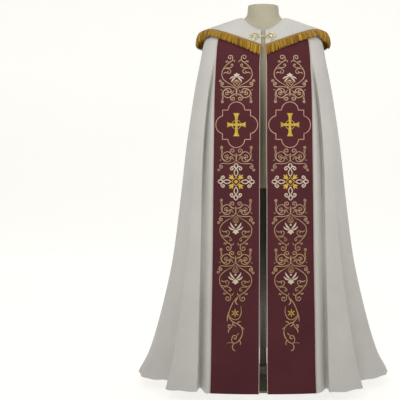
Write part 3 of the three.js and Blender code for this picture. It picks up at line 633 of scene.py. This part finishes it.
line_z = np.where(y < 0, np.interp(np.abs(x), *FRONT_LINE.T), np.interp(np.abs(x), *BACK_LINE.T))
above = z - line_z
line_rows = np.zeros(base.shape[1])
for c in range(base.shape[1]):
    k = 25 + int(np.argmax(above[25:, c] <= 0))
    u = above[k - 1, c] / (above[k - 1, c] - above[k, c])
    line_rows[c] = hood_t[k - 1] + u * (hood_t[k] - hood_t[k - 1])


def on_hood(field, rows):
    """A field of the hood's grid read at one row number for each column; rows may be 2-D, rows by columns."""
    at = np.clip(rows / hood_t[1], 0, len(hood_t) - 1.001)
    low = at.astype(int)
    u = (at - low)[..., None]
    c = np.broadcast_to(np.arange(field.shape[1]), at.shape)
    return field[low, c] * (1 - u) + field[low + 1, c] * u


edge_way = unit(np.gradient(on_hood(hood_face, line_rows), axis=0))
square_way = without(on_hood(np.gradient(hood_face, hood_t, axis=0), line_rows), edge_way)
row_per_mm = 1 / np.linalg.norm(square_way, axis=1)


def rows_below(distance):
    """Row numbers at a distance below the hood's edge, square to it."""
    return line_rows + distance * row_per_mm


shares = np.linspace(0, 1, 64)[:, None]
rows = shares * rows_below(HOOD_HEM)
hood = wall_object("hood_cloth", on_hood(hood_face, rows), on_hood(hood_normals, rows), CLOTH, 0)
dressed(hood, cream, "hood")

# The panel's end, just above the hood's edge, and its cords' distance in, height over its face and thickness
PANEL_END = -0.6
PANEL_CORD_IN, PANEL_CORD_LIFT, PANEL_CORD_THICK = 2, 1.2, 3.6
panel_columns = slice(middle_column - 55, middle_column + 56)


def on_panel(rows):
    """The panel's part of the hood's grid, and its normals, at row numbers."""
    return [on_hood(field, rows)[:, panel_columns] for field in (hood_face, hood_normals)]


panel_grid, panel_normals = on_panel(shares * rows_below(PANEL_END))
hood_orphrey = wall_object("hood_orphrey_cloth", panel_grid, panel_normals, PANEL_FACE, CLOTH + GAP)
dressed(hood_orphrey, burgundy, "hood_orphrey")
names = [(f"hood_cord_{word}", f"hood_braid_{word}") for word in ("right", "left")]
hood_cords = edge_cords(names, panel_grid, panel_normals, PANEL_CORD_IN, PANEL_FACE + PANEL_CORD_LIFT,
                        PANEL_CORD_THICK, galloon)

# The fringe: its header's distance from the hood, its thickness and its end below the hood's edge, and
# where the front part meets the back one
HEADER_GAP, HEADER_CLOTH, HEADER_END, PARTING = 1.6, 1.8, 9.5, 0.57
HEADER_FACE = CLOTH + HEADER_GAP + HEADER_CLOTH
TUFT, STRAND_LENGTH, STRANDS = 5.5, 28, {"front": 1800, "back": 2700}
# A strand's levels in shares of its length, and its radii at them
STRAND_LEVELS = np.array([-1.5, 7, 15, 22, 28]) / STRAND_LENGTH
STRAND_RADII = (0.55, 0.62, 0.58, 0.48, 0.12)
header_rows = rows_below(np.linspace(0, HEADER_END, 7)[:, None])
header_faces, header_normals = on_hood(hood_face, header_rows), on_hood(hood_normals, header_rows)
column_reach = np.concatenate([reaches, reaches[::-1][1:]])
low_normals = header_normals[-1]
low_face = header_faces[-1] + low_normals * (CLOTH + HEADER_GAP)
square, downward = (unit(without(way, low_normals)) for way in (square_way, np.array([0, 0, -1.0])))
falling = unit(square * 0.4 + downward * 0.6 - low_normals * 0.12)
# At the shoulders' corners the strands hang free, straight down and a little longer
CORNER_BEGIN, CORNER_WIDTH, FREE_SHARE = 196, 34, 0.85
corner = smooth((np.abs(low_face[:, :1]) - CORNER_BEGIN) / CORNER_WIDTH)
free = np.stack([0.22 * np.sign(low_face[:, 0]), 0 * low_face[:, 0], -np.ones(len(low_face))], 1)
falling = unit(falling * (1 - FREE_SHARE * corner) + free * FREE_SHARE * corner)


def strand_mesh(name, columns, count):
    """A stretch of fringe: fine tapered strands, drawn together in tufts, hanging from the header."""
    along = lengths_along(low_face[columns])
    at = np.sort(rng.uniform(0, along[-1], count))
    normal, down, way, root, free_share = (
        at_lengths(at, along, field[columns]) for field in (low_normals, falling, edge_way, low_face, corner))
    tuft = (at / TUFT).astype(int)
    tufts = tuft[-1] + 1
    to_middle = (tuft + 0.5) * TUFT - at

    def uneven():
        return rng.normal(0, 0.035, tufts)[tuft] + rng.normal(0, 0.03, count)

    # Longer at the free corners and near the middle of the front
    length = STRAND_LENGTH * (1 + uneven()) * (1 + 0.42 * free_share[:, 0])
    length += 4.5 * smooth(1 - np.abs(root[:, 0]) / 90) * (root[:, 1] < 0)
    lean = uneven()
    lift = rng.uniform(0.2, HEADER_CLOTH + 0.4, count)
    bow = rng.normal(0, 0.8, count)
    points = []
    for share, radius in zip(STRAND_LEVELS, STRAND_RADII):
        hung = max(share, 0)
        sideways = lean * length * share + bow * np.sin(share * 2.4) + to_middle * 0.55 * hung
        centre = root + down * (length * share)[:, None] + way * sideways[:, None]
        centre += normal * (lift + 0.9 * math.sin(math.pi * hung))[:, None]
        tucked = 3 * math.sin(math.pi * hung) - 10 * share * share
        centre[:, 0] += np.sign(centre[:, 0]) * free_share[:, 0] * tucked
        points += [centre + radius * (way * math.cos(a) + normal * math.sin(a)) for a in 0.5 + circle(3)]
    points = np.stack(points, 1)
    start = np.arange(count) * points.shape[1]
    faces = turned_over(ring_faces(len(STRAND_LEVELS), 3))[:, None] + start[None, :, None]
    uvs = np.zeros(points.shape[:2] + (2,))
    uvs[..., 0] = (0.55 * rng.uniform(0, 1, tufts)[tuft] + 0.45 * rng.uniform(0, 1, count))[:, None]
    uvs[..., 1] = np.repeat(STRAND_LEVELS, 3) * STRAND_LENGTH * MM
    return mesh_object(name, points.reshape(-1, 3), faces.reshape(-1, 4), uvs.reshape(-1, 2))


fringe_pieces = []
for side, word in SIDES:
    on_side = side * (np.arange(len(column_reach)) - middle_column) <= 0
    for part, wanted in (("front", column_reach <= PARTING), ("back", column_reach >= PARTING)):
        columns = np.flatnonzero(on_side & wanted)
        header = wall_object(f"fringe_{part}_{word}_header", header_faces[:, columns],
                             header_normals[:, columns], HEADER_FACE, CLOTH + HEADER_GAP)
        strands = strand_mesh(f"fringe_{part}_{word}_strands", columns, STRANDS[part])
        fringe_pieces += [
            dressed(header, galloon_band),
            dressed(strands, fringe_gold, f"fringe_{part}_{word}"),
        ]
        for n, row in enumerate((1, 5), 1):
            fringe_pieces.append(cord(f"fringe_{part}_{word}_gimp_{n}", header_faces[row, columns],
                                      header_normals[row, columns], HEADER_FACE + 0.3, 1.8, galloon))


# Embroidery: raised satin stitch, drawn in millimetres on the cloth it lies on
def spline(points, step=2.5):
    """A smooth curve through points, at about even steps."""
    points = np.asarray(points, float)
    if len(points) < 3:
        count = max(2, int(np.linalg.norm(points[-1] - points[0]) / step) + 1)
        return points[0] + (points[-1] - points[0]) * np.linspace(0, 1, count)[:, None]
    fine = read_table(points, np.linspace(0, len(points) - 1, 24 * len(points)))
    along = lengths_along(fine)
    return at_lengths(np.linspace(0, along[-1], max(3, int(along[-1] / step) + 1)), along, fine)


def rounded(x, y, radius, angle):
    """Points at angles and radii round a centre."""
    return np.stack([x + radius * np.cos(angle), y + radius * np.sin(angle)], 1)


def rotation(degrees):
    c, s = math.cos(math.radians(degrees)), math.sin(math.radians(degrees))
    return np.array([[c, s], [-s, c]])


def curl(start, centre, turns, inner=0.22):
    """A volute that winds in from a point round a centre; turns above 0 go anticlockwise."""
    from_centre = start - np.array(centre, float)
    radius = np.linalg.norm(from_centre)
    share = np.linspace(0, 1, max(6, int(abs(turns) * 2 * math.pi * radius * 0.6 / 1.8)))
    angle = math.atan2(from_centre[1], from_centre[0]) + 2 * math.pi * turns * share
    return rounded(*centre, radius * (1 - (1 - inner) * share ** 0.9), angle)


def stroke(points, width, volute=None, start=0.55):
    """A stitched line: its path and its half width along it, with a bead where a volute ends."""
    path = spline(points)
    if volute:
        path = np.concatenate([path[:-1], curl(path[-1], volute[:2], volute[2])])
    share = np.linspace(0, 1, len(path))
    half = width / 2 * (start + (1 - start) * smooth(share * 4))
    if volute:
        half[-3:] = width * 0.62
    else:
        half *= 1 - 0.6 * smooth((share - 0.8) * 5)
    return path, half


def leaf(points, width):
    """A stitched leaf, pointed at both ends."""
    path = spline(points)
    share = np.linspace(0, 1, len(path))
    return path, width / 2 * np.sin(math.pi * np.clip(share * 0.94 + 0.03, 0, 1)) ** 0.75


def ring(x, y, radius, width=2.6):
    return rounded(x, y, radius, np.linspace(0, 2 * math.pi, 20)), np.full(20, width / 2)


def filled(x, y, width, height, sharp=1.0):
    """A shape filled with stitches laid across it, pointed at its top and bottom."""
    share = np.linspace(0, 1, 12)
    path = np.stack([np.full(12, float(x)), y + height * (share - 0.5)], 1)
    return path, width / 2 * np.sin(math.pi * np.clip(share, 0.02, 0.98)) ** sharp


def polyline(points, width):
    path = np.concatenate([spline(points[k:k + 2], 3)[:-1] for k in range(len(points) - 1)] + [points[-1:]])
    return path, np.full(len(path), width / 2)


def both(strokes):
    return strokes + [(path * [-1, 1], half) for path, half in strokes]


def placed(strokes, scale=(1, 1), shift=(0, 0), turn=0):
    grow = abs(scale[0] * scale[1]) ** 0.5
    return [((path * scale) @ rotation(turn) + shift, half * grow) for path, half in strokes]


def around(strokes, *turns):
    """The same strokes at each of several turns, in degrees."""
    return [turned for turn in turns for turned in placed(strokes, turn=turn)]


LINE, THIN = 3.4, 3.06
# The crown: two small volutes, two big ones, an arm, a column and a ring on each side of a stem
CROWN = both([
    stroke([(-1.5, 19), (-9, 20.5), (-19.5, 26), (-23.6, 37.5)], LINE, (-13.8, 38.5, -1.1)),
    stroke([(-4, 25), (-12, 24), (-20, 28.5), (-31, 35.5), (-43, 33), (-52.5, 24), (-53.8, 12)], LINE,
           (-38.5, 13.5, 0.55)),
    stroke([(-52, 7), (-46, 0.5), (-38, -2.5), (-28, -1), (-22, 5)], LINE, (-31, 8, 0.5)),
    stroke([(-30, 17), (-33, 23.5), (-42, 22)], THIN, (-38.3, 16.5, 0.9)),
    stroke([(-8, 4), (-12, 8), (-14.5, 14)], THIN, (-20.5, 12, 1.1)),
    stroke([(-1, 4), (-7, -3), (-16.3, -7.6), (-33.5, -10), (-50, -9), (-60, -12), (-64.5, -20)], LINE,
           (-57.2, -21.5, 1.2)),
    stroke([(-61, -29), (-63, -34), (-66, -38)], THIN, (-67.5, -33, -0.9)),
    stroke([(-53, 6), (-57, 16), (-57.5, 27), (-53.5, 38), (-54.5, 46)], LINE * 0.8),
    leaf([(-58, 6), (-61, 3), (-65, 4)], LINE),
    stroke([(-51, 30), (-55, 34), (-58.5, 41), (-58, 47)], LINE * 0.8),
    ring(-56.6, 52, 4.6),
    ring(-56.6, 52, 1.3),
])
STEM = [leaf([(0, 31), (0, 20), (0, 8), (0, -3)], 5.2)]
# The lyre below it, closed by two large volutes, with smaller scrolls inside
LYRE = both([
    stroke([(-3, -4), (-20, -17), (-39, -28), (-55.5, -43), (-61.5, -60), (-58, -79), (-45, -97), (-30, -110),
            (-19, -118), (-17.5, -127)], LINE, (-28.7, -130.5, -1.15)),
    leaf([(-18, -117), (-11, -118), (-7, -109)], LINE),
    stroke([(-30, -111), (-37, -113), (-41, -118)], THIN, (-43.5, -114, 1.0)),
    stroke([(-57.5, -80), (-50, -84.5), (-40, -85), (-29, -81.5), (-24, -72.5)], THIN, (-33, -71, 0.75)),
    leaf([(-55, -62), (-50, -68), (-42, -68), (-36, -64)], LINE * 1.2),
    stroke([(-46, -91), (-36, -87.5), (-24, -89), (-15.5, -97)], THIN, (-21, -99, -0.75)),
])
PALMETTE = both([
    leaf([(-2, -57), (-9, -51), (-16, -43), (-21, -32)], 6.2),
    leaf([(-3, -62), (-12, -58.5), (-20, -55), (-27.5, -47)], 5.8),
    leaf([(-3, -60), (-6.5, -66), (-11.5, -71)], 6.0),
]) + [filled(0, -67, 15, 20, 0.8), filled(0, -41, 8, 8)]
LATTICE = both([
    stroke([(0, -8), (-7, -17), (-12, -28)], 2.2),
    stroke([(-12, -28), (-6, -33), (0, -36)], 2.2),
    stroke([(-5.5, -15), (0, -23), (6, -31)], 1.7),
    stroke([(-9, -22), (-3, -29), (2, -35)], 1.7),
])
# A quarter of the frame: a lobe at its top, a corner, and a lobe at its side
LOBE = [(32 * math.sin(a), 56 + 31 * math.cos(a)) for a in np.linspace(0, math.pi / 2, 12)]
SIDE_LOBE = [(46 + 35 * math.cos(a), 35 * math.sin(a)) for a in np.linspace(1.34, -1.34, 22)]
FRAME = both([polyline(
    LOBE + [(54, 56), (54, 35.5)] + SIDE_LOBE + [(54, -35.5), (54, -56)]
    + [(x, -y) for x, y in LOBE[::-1]], 3.0)])
# A plain cross with flared arms, on a ring
ARM_Y = np.linspace(0, 44, 14)
ARM = [(np.stack([0 * ARM_Y, ARM_Y], 1), np.interp(ARM_Y / 44, [0, 0.2, 0.7, 1], [4.5, 4.5, 6, 11.5]))]
PLAIN_CROSS = around(ARM, 0, 180) + placed(ARM, (1, 0.8), turn=90) + placed(ARM, (1, 0.8), turn=-90)
ROUND = [ring(0, 0, 17, 2.4)]
# A floriated cross: looped arms, and leaves between them
LOOP_ARM = both([
    stroke([(0, 20), (-5.5, 28), (-7, 37), (-3, 45), (0, 50)], 3.8, start=0.8),
    stroke([(0, 49), (-5.5, 55), (-6, 64), (0, 70.5)], 4.2, start=0.8),
    stroke([(0, 50), (-7, 56.5), (-15, 57.5), (-21.5, 51)], 4.2, (-15, 49.5, 0.75), start=0.8),
])
LEAVES = [
    leaf([(0, 14), (0, 24), (0, 37)], 7.5),
    leaf([(0, 14), (-4, 23), (-9.5, 31)], 6.5),
    leaf([(0, 14), (4, 23), (9.5, 31)], 6.5),
]
FLOWER_ARMS = around(LOOP_ARM, 0, 90, 180, 270)
FLOWER_LEAVES = around(LEAVES, 45, 135, 225, 315)
FLOWER_HEART = [polyline([(0, 17), (17, 0), (0, -17), (-17, 0), (0, 17)], 2.4), filled(0, 0, 14, 14)]
# The vine at the foot: x runs outwards from the band's middle
VINE = [
    stroke([(-13, 11), (5, -9), (18, -35), (24, -60), (18, -74), (8, -84), (-11, -92), (-24, -104),
            (-28, -123), (-21, -143), (-11, -155), (0, -161), (18, -159), (29, -162)], LINE),
    leaf([(-11, 6), (-2, -7), (-4, -17), (-12, -22)], LINE * 1.3),
    stroke([(-21, -27), (-23, -48), (-16, -68), (-3, -76), (12, -72), (21, -60)], THIN),
    leaf([(24, -48), (28, -66), (29, -85)], LINE),
    leaf([(-6, -90), (-14, -84), (-24, -82)], LINE),
    stroke([(5, -85), (9, -92), (12, -103)], THIN, (20, -99, 1.0)),
    leaf([(15, -106), (23, -114), (24, -125)], LINE * 1.2),
    leaf([(9, -84), (5, -94), (-5, -101)], LINE),
    leaf([(-22, -103), (-28, -105), (-35, -111)], LINE),
    stroke([(5, -160), (12, -152), (10, -140)], THIN, (0, -141, 0.95)),
    leaf([(-5, -132), (-10, -130), (-15, -123)], LINE),
    leaf([(-16, -149), (-21, -158), (-19, -168)], LINE),
    stroke([(3, -162), (9, -173), (6, -184), (-3, -188)], LINE),
]
STAR = around([leaf([(0, 1.5), (0, 8), (0, 15)], 4.0)], *range(0, 360, 60))


class Band:
    """The face of a band of cloth, read at a distance across it and a distance down its middle."""

    def __init__(self, grid, normals, across):
        self.grid, self.normals, self.across = grid, normals, across
        middle = grid[:, grid.shape[1] // 2]
        self.down, self.middle_z = lengths_along(middle), middle[:, 2]

    def down_at(self, z):
        return float(np.interp(-z, -self.middle_z, self.down))

    def read(self, u, v):
        c = np.clip(np.interp(u, self.across, np.arange(len(self.across))), 0, len(self.across) - 1.001)
        r = np.clip(np.interp(v, self.down, np.arange(len(self.down))), 0, len(self.down) - 1.001)
        i, j = r.astype(int), c.astype(int)
        a, b = (r - i)[..., None], (c - j)[..., None]

        def mix(field):
            return ((field[i, j] * (1 - b) + field[i, j + 1] * b) * (1 - a)
                    + (field[i + 1, j] * (1 - b) + field[i + 1, j + 1] * b) * a)

        return mix(self.grid), mix(self.normals)


# A ribbon of stitches in section: place across it in shares of its half width, and height in shares
PROFILE = np.array([[-1, 0.05], [-0.72, 0.72], [0, 1.0], [0.72, 0.72], [1, 0.05]])
STITCH_HEIGHT = 0.9
# Ribbons of a smaller half width than this are lower
FULL_HALF = 1.2


def stitched(name, band, strokes, lift, thread, flip=False):
    """One raised piece of embroidery: every stroke as a crowned ribbon on the cloth."""
    parts, uvs = [], []
    for path, half in strokes:
        way = unit(np.gradient(path, axis=0))
        aside = PROFILE[:, 0] * half[:, None]
        flat = path[:, None] + np.stack([-way[:, 1], way[:, 0]], 1)[:, None] * aside[..., None]
        spot, normal = band.read(flat[..., 0], -flat[..., 1])
        height = lift + PROFILE[:, 1] * STITCH_HEIGHT * np.minimum(1, half / FULL_HALF)[:, None]
        quads = grid_faces(*aside.shape)
        parts.append(((spot + normal * height[..., None]).reshape(-1, 3), quads[:, ::-1] if flip else quads))
        along = np.broadcast_to(lengths_along(path)[:, None], aside.shape)
        uvs.append(np.stack([along, aside], -1).reshape(-1, 2) * MM)
    return dressed(mesh_object(name, *merged(parts), np.concatenate(uvs)), THREADS[thread])


def motif(band, z, strokes, scale=(1, 1), fine=1.0):
    """Strokes round a height on a band's middle, with their widths changed by a share."""
    return [(path, half * fine) for path, half in placed(strokes, scale, (0, -band.down_at(z)))]


# The heights of the motifs on an orphrey, and on the hood's panel
CROWN_Z, FRAME_Z, SMALL_Z, FLOWER_Z = 1155, 1019, 881, 803.5
LYRE_Z, LOW_Z, VINE_Z, STAR_Z = 683, 500, 373, 322
HOOD_TOP, HOOD_CENTRE, HOOD_LOW = 1418, 1303, 1189
UPSIDE, NARROW = (0.98, -0.93), (0.98, 0.98)
for side, word in SIDES:
    # Level rows, so that a motif keeps its shape
    levels = np.concatenate([np.linspace(1338, 1100, 60), np.linspace(1096, 42, 190)])
    heights = bands[side][0][..., 2]
    grid, normals = (
        np.stack([at_lengths(-levels, -heights[:, c], field[:, c]) for c in range(len(BAND_U))], 1)
        for field in bands[side])
    band = Band(grid, normals, (BAND_U - 0.5) * ORPHREY_WIDTH)
    sets = {
        "beige": motif(band, CROWN_Z, CROWN + STEM + LYRE, UPSIDE, 0.95)
        + motif(band, SMALL_Z, CROWN + STEM, fine=0.75) + motif(band, LYRE_Z, CROWN, NARROW, 0.8),
        "old": motif(band, LYRE_Z, STEM + LYRE + LATTICE, NARROW, 0.85)
        + motif(band, CROWN_Z, LATTICE, (1.3, -0.93))
        + motif(band, LOW_Z, CROWN + STEM + LYRE + LATTICE, NARROW, 0.9) + motif(band, VINE_Z, VINE),
        "rose": motif(band, FRAME_Z, FRAME),
        "ivory": motif(band, CROWN_Z, PALMETTE, (1.0, -0.8)) + motif(band, LYRE_Z, PALMETTE)
        + motif(band, LOW_Z, PALMETTE) + motif(band, FLOWER_Z, FLOWER_ARMS),
        "gold": motif(band, FRAME_Z, PLAIN_CROSS + ROUND),
        "yellow": motif(band, FLOWER_Z, FLOWER_LEAVES + FLOWER_HEART) + motif(band, STAR_Z, STAR),
    }
    for thread, strokes in sets.items():
        on_orphrey[side][1].append(
            stitched(f"orphrey_{word}_stitch_{thread}", band, strokes, ORPHREY_FACE, thread, side == LEFT))

# Level rows down the hood's panel, so that a motif there keeps its shape above the slanting edge
level_rows = shares * rows_below(PANEL_END).max() + 0 * line_rows
level_grid, level_normals = on_panel(level_rows)
panel_across = lengths_along(level_grid[20])
panel_band = Band(level_grid, level_normals, panel_across - panel_across[len(panel_across) // 2])
hood_sets = {
    "beige": motif(panel_band, HOOD_TOP, CROWN + STEM, (0.92, -0.88), 0.8)
    + motif(panel_band, HOOD_LOW, CROWN + STEM, (0.88, 0.85), 0.8),
    "rose": motif(panel_band, HOOD_CENTRE, FRAME, (1.0, 0.87), 0.9),
    "gold": motif(panel_band, HOOD_CENTRE, PLAIN_CROSS + ROUND),
}
hood_stitches = [
    stitched(f"hood_stitch_{thread}", panel_band, strokes, PANEL_FACE, thread)
    for thread, strokes in hood_sets.items()
]

# Each orphrey's cloth and the pieces on it, read back from the table
for side, word in SIDES:
    piece, pieces_on_it = on_orphrey[side]


# The clasp: filigree of round wire on each plate, a hook and an eye
def clasp_frame(node_name):
    """The middle of a plate and the directions across it, up it and out of it, from its CAD node."""
    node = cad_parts[node_name]
    spots = np.array([tuple(node.matrix_world @ v.co) for v in node.data.vertices]) / MM
    # The hook and the eye lie between the two plates
    plate = spots[np.abs(spots[:, 0]) > 12]
    middle = (plate.max(0) + plate.min(0)) / 2
    axes = np.linalg.svd(plate - plate.mean(0), full_matrices=False)[2]
    out = axes[2] * (-1 if axes[2][1] > 0 else 1)
    across = unit(np.array([1, 0, 0]) - out * out[0])
    return middle, across, np.cross(out, across), out


def ball(radius, flat):
    """Points and faces of a round bead; flat squashes it along z."""
    tilt, turn = math.pi * np.arange(8)[:, None] / 7, circle(12)
    points = np.stack(np.broadcast_arrays(
        radius * np.sin(tilt) * np.cos(turn), radius * np.sin(tilt) * np.sin(turn),
        radius * flat * np.cos(tilt)), -1)
    return points.reshape(-1, 3), turned_over(ring_faces(8, 12))


def plate_wires():
    """A plate's filigree: for each wire its path in the plane, its radius and whether it is closed."""
    turn = circle(72)
    lobed = 1 - 0.13 * np.sin(2 * turn) ** 2
    wires = [
        (rounded(0, 0, lobed, turn) * [20, 18], 0.95, True),
        (rounded(0, 0, 1, turn) * [7.4, 7], 0.85, True),
    ]
    share = np.linspace(0, 1, 26)
    spiral = rounded(11.6, 4.2, 3.9 * (1 - 0.88 * share), math.radians(-60) + 2 * math.pi * 1.3 * share)
    petal = rounded(0, 0, 1, turn[::4]) * [2.6, 1.9] + [14.6, 0]
    quarter = ((spiral, 0.8, False), (spiral * [1, -1], 0.8, False), (petal, 0.7, True))
    for turn in (0, 90, 180, 270):
        wires += [(path @ rotation(turn) * [1.05, 1.0], radius, closed) for path, radius, closed in quarter]
    return wires


# Beads as place across, up and out, radius and flatness: the middle one, two rings and four knobs
BEADS = [(0, 0, 0.6, 5, 0.6)]
BEADS += [(9.4 * math.cos(a), 8.9 * math.sin(a), 0.4, 1.2, 1) for a in circle(12)]
BEADS += [(21, 0, 0, 1.6, 1), (-21, 0, 0, 1.6, 1), (0, 18.6, 0, 1.6, 1), (0, -18.6, 0, 1.6, 1)]
BEADS += [(17.4 * math.cos(a), 15.8 * math.sin(a), 0.3, 1.0, 1) for a in circle(24)]
# The hook's wire from its plate to its tip, and the eye's place, measured across from the opening's middle
HOOK = np.array([
    (-12.5, 0, 0.2), (-5.5, 0, 1.0), (1.5, 0, 2.0), (5.5, 0, 1.9), (7.4, 0, 0.4), (6.1, 0, -1.3),
])
EYE_X = 7.2

for word in ("left", "right"):
    middle, across, up, out = clasp_frame(f"clasp_{word}")
    axes = np.stack([across, up, out])

    def on_plate(flat):
        return middle + flat @ axes[:np.shape(flat)[1]]

    parts = [tube(on_plate(path), out, radius, 6, closed) for path, radius, closed in plate_wires()]
    for *place, radius, flat in BEADS:
        points, faces = ball(radius, flat)
        parts.append((on_plate(points + place), faces))
    if word == "right":
        eye = rounded(0, 0, 1, circle(28)) * [3.2, 4] + [EYE_X - middle[0], 0]
        parts.append(tube(on_plate(eye), out, 0.8, 8, True))
    else:
        path = read_table(HOOK - [middle[0], 0, 0], np.linspace(0, len(HOOK) - 1, 40))
        parts.append(tube(on_plate(path), up, np.linspace(1.2, 0.7, 40), 8))
    dressed(mesh_object(f"clasp_{word}_filigree", *merged(parts)), gilt, f"clasp_{word}")


# The dress form and its stand
def skin_rows(node, heights, columns):
    """How far a CAD node reaches from the z axis, by height and by angle from the front."""
    spots = [node.matrix_world @ v.co for v in node.data.vertices]
    tree = BVHTree.FromPolygons(spots, [tuple(face.vertices) for face in node.data.polygons])
    reach = np.zeros((len(heights), columns))
    for r, z in enumerate(heights):
        for c, angle in enumerate(circle(columns)):
            hit = tree.ray_cast(Vector((0, 0, z * MM)), Vector((math.sin(angle), -math.cos(angle), 0)))
            reach[r, c] = hit[3] / MM if hit[3] else reach[r - 1, c]
    return reach


FORM_COLUMNS, FORM_TOP, FORM_FOOT, NECK_Z = 160, 1492, 774, 1441
# The cover's seams, in degrees from the front; the depth and half width of a seam and of the neck's groove
SEAMS = (0, 38, 90, 142, 180, 218, 270, 322)
COVER_SEAM, NECK_GROOVE = (0.8, 2.2), (0.7, 1.6)
heights = np.concatenate([
    np.linspace(1491.4, 1446, 20), np.linspace(1443, 1300, 56), np.linspace(1294, 774.4, 66),
])
reach = skin_rows(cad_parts["form_torso"], heights, FORM_COLUMNS)
for _ in range(6):
    reach = 0.5 * reach + 0.25 * (np.roll(reach, 1, 1) + np.roll(reach, -1, 1))
    reach[1:-1] = 0.5 * reach[1:-1] + 0.25 * (reach[2:] + reach[:-2])
angles = circle(FORM_COLUMNS)
below_neck = smooth((NECK_Z - 1 - heights) / 30)[:, None]
for seam in SEAMS:
    off = (angles - math.radians(seam) + math.pi) % (2 * math.pi) - math.pi
    reach = reach - COVER_SEAM[0] * np.exp(-((off[None, :] * reach / COVER_SEAM[1]) ** 2)) * below_neck
reach = reach - NECK_GROOVE[0] * np.exp(-(((heights - NECK_Z) / NECK_GROOVE[1]) ** 2))[:, None]


def lathed(radius, z):
    """Rows of points round the z axis, from the front on, at a radius and a height for each row."""
    radius, z, turn = np.broadcast_arrays(radius, z[:, None], circle(radius.shape[1])[None, :])
    return np.stack([radius * np.sin(turn), -radius * np.cos(turn), z], -1)


def cap_rows(row, z, insets, rises):
    """Rows that close a ring of points, moved in by shares of its size."""
    return [np.concatenate([row[:, :2] * share, np.full((len(row), 1), z + rise)], 1)
            for share, rise in zip(insets, rises)]


skin = lathed(reach, heights)
skin = np.concatenate([
    cap_rows(skin[0], FORM_TOP, (0.0, 0.4, 0.8, 0.94, 0.985), (0, 0, 0, 0, -0.15)), skin,
    cap_rows(skin[-1], FORM_FOOT, (0.985, 0.9, 0.5, 0.0), (0.2, 0, 0, 0)),
])
# The UVs take the form as 150 mm in radius
skin_uvs = np.stack([np.broadcast_to(angles * 150, skin.shape[:2]), skin[..., 2]], -1).reshape(-1, 2) * MM
faces = turned_over(ring_faces(len(skin), FORM_COLUMNS))
form = mesh_object("form_cover", skin.reshape(-1, 3), faces, skin_uvs)
dressed(form, jersey, "form_torso")


def turned_piece(name, node, profile, columns=96):
    """A piece turned on a lathe from (radius, height) points, with its corners eased."""
    profile = np.array(profile, float)
    for _ in range(3):
        first, run = profile[:-1], np.diff(profile, axis=0)
        cut = run * np.minimum(0.25, 1.2 / np.maximum(np.linalg.norm(run, axis=1, keepdims=True), 1e-6))
        eased = np.stack([first + cut, first + run - cut], 1).reshape(-1, 2)
        profile = np.concatenate([profile[:1], eased[1:-1], profile[-1:]])
    profile = np.concatenate([[[0, profile[0, 1]]], profile, [[0, profile[-1, 1]]]])
    points = lathed(np.repeat(profile[:, :1], columns, 1), profile[:, 1])
    piece = mesh_object(name, points.reshape(-1, 3), turned_over(ring_faces(len(points), columns)))
    dressed(piece, enamel, node)


turned_piece("stand_pole_turned", "stand_pole", [(14, 773.65), (14, 58.35)], 64)
turned_piece("stand_foot_turned", "stand_foot",
             [(22, 58), (26, 54), (28, 24), (60, 17), (182, 12), (190, 8), (190, 0)])

# The floor in metres: level, then curved up into a wall behind
WALL_Y, CURVE = 3.0, 1.6
floor_profile = [(-6.0, 0.0), (WALL_Y, 0.0)]
for angle in np.linspace(0, math.pi / 2, 16)[1:]:
    floor_profile.append((WALL_Y + CURVE * math.sin(angle), CURVE - CURVE * math.cos(angle)))
floor_profile.append((WALL_Y + CURVE, 9.0))
floor_points = np.array([(x, y, z) for y, z in floor_profile for x in (-12.0, 12.0)]) / MM
floor = mesh_object("studio_floor", floor_points, grid_faces(len(floor_profile), 2))
floor.parent = None
floor_paper = plain_material("floor_paper", srgb(150, 149, 146), srgb(152, 151, 148), 3, 0.8, 0.0, 0.02)
floor_shader = floor_paper.node_tree.nodes["Principled BSDF"]
floor_shader.inputs["Emission Color"].default_value = (1.0, 0.985, 0.945, 1)
floor_shader.inputs["Emission Strength"].default_value = 0.8
floor.data.materials.append(floor_paper)


# Light and camera
def aimed(name, data, place, aim):
    """A light or a camera at a place, aimed at a point, both in metres."""
    obj = bpy.data.objects.new(name, data)
    obj.location = place
    obj.rotation_euler = (Vector(aim) - Vector(place)).to_track_quat("-Z", "Y").to_euler()
    bpy.context.scene.collection.objects.link(obj)
    return obj


def area_light(name, place, aim, size, watts, colour, spread=180):
    data = bpy.data.lights.new(name, "AREA")
    data.spread = math.radians(spread)
    data.shape = "RECTANGLE"
    data.size, data.size_y = size
    data.energy = watts
    data.color = colour
    aimed(name, data, place, aim)


area_light("key", (-0.9, -2.3, 2.8), (0, 0, 1.4), (1.3, 1.3), 7.5, (1.0, 0.995, 0.985), 80)
area_light("fill", (1.5, -2.2, 2.5), (0, 0, 1.35), (1.3, 1.3), 4.6, (1.0, 0.995, 0.985), 80)
area_light("top", (0, 0.6, 4.2), (0, 0, 0), (3.0, 3.0), 22, (1.0, 1.0, 1.0))
world = bpy.data.worlds.new("studio")
world.use_nodes = True
world.node_tree.nodes["Background"].inputs["Color"].default_value = (1.0, 0.985, 0.95, 1)
world.node_tree.nodes["Background"].inputs["Strength"].default_value = 0.3
bpy.context.scene.world = world
bpy.context.scene.view_settings.view_transform = "Standard"

camera_data = bpy.data.cameras.new("camera")
camera_data.lens = 73.9
camera_data.sensor_width = 36
camera_data.shift_x = -0.158
camera_data.shift_y = -0.1
bpy.context.scene.camera = aimed("camera", camera_data, (0, -3.278, 0.984), (0, 0, 0.88))
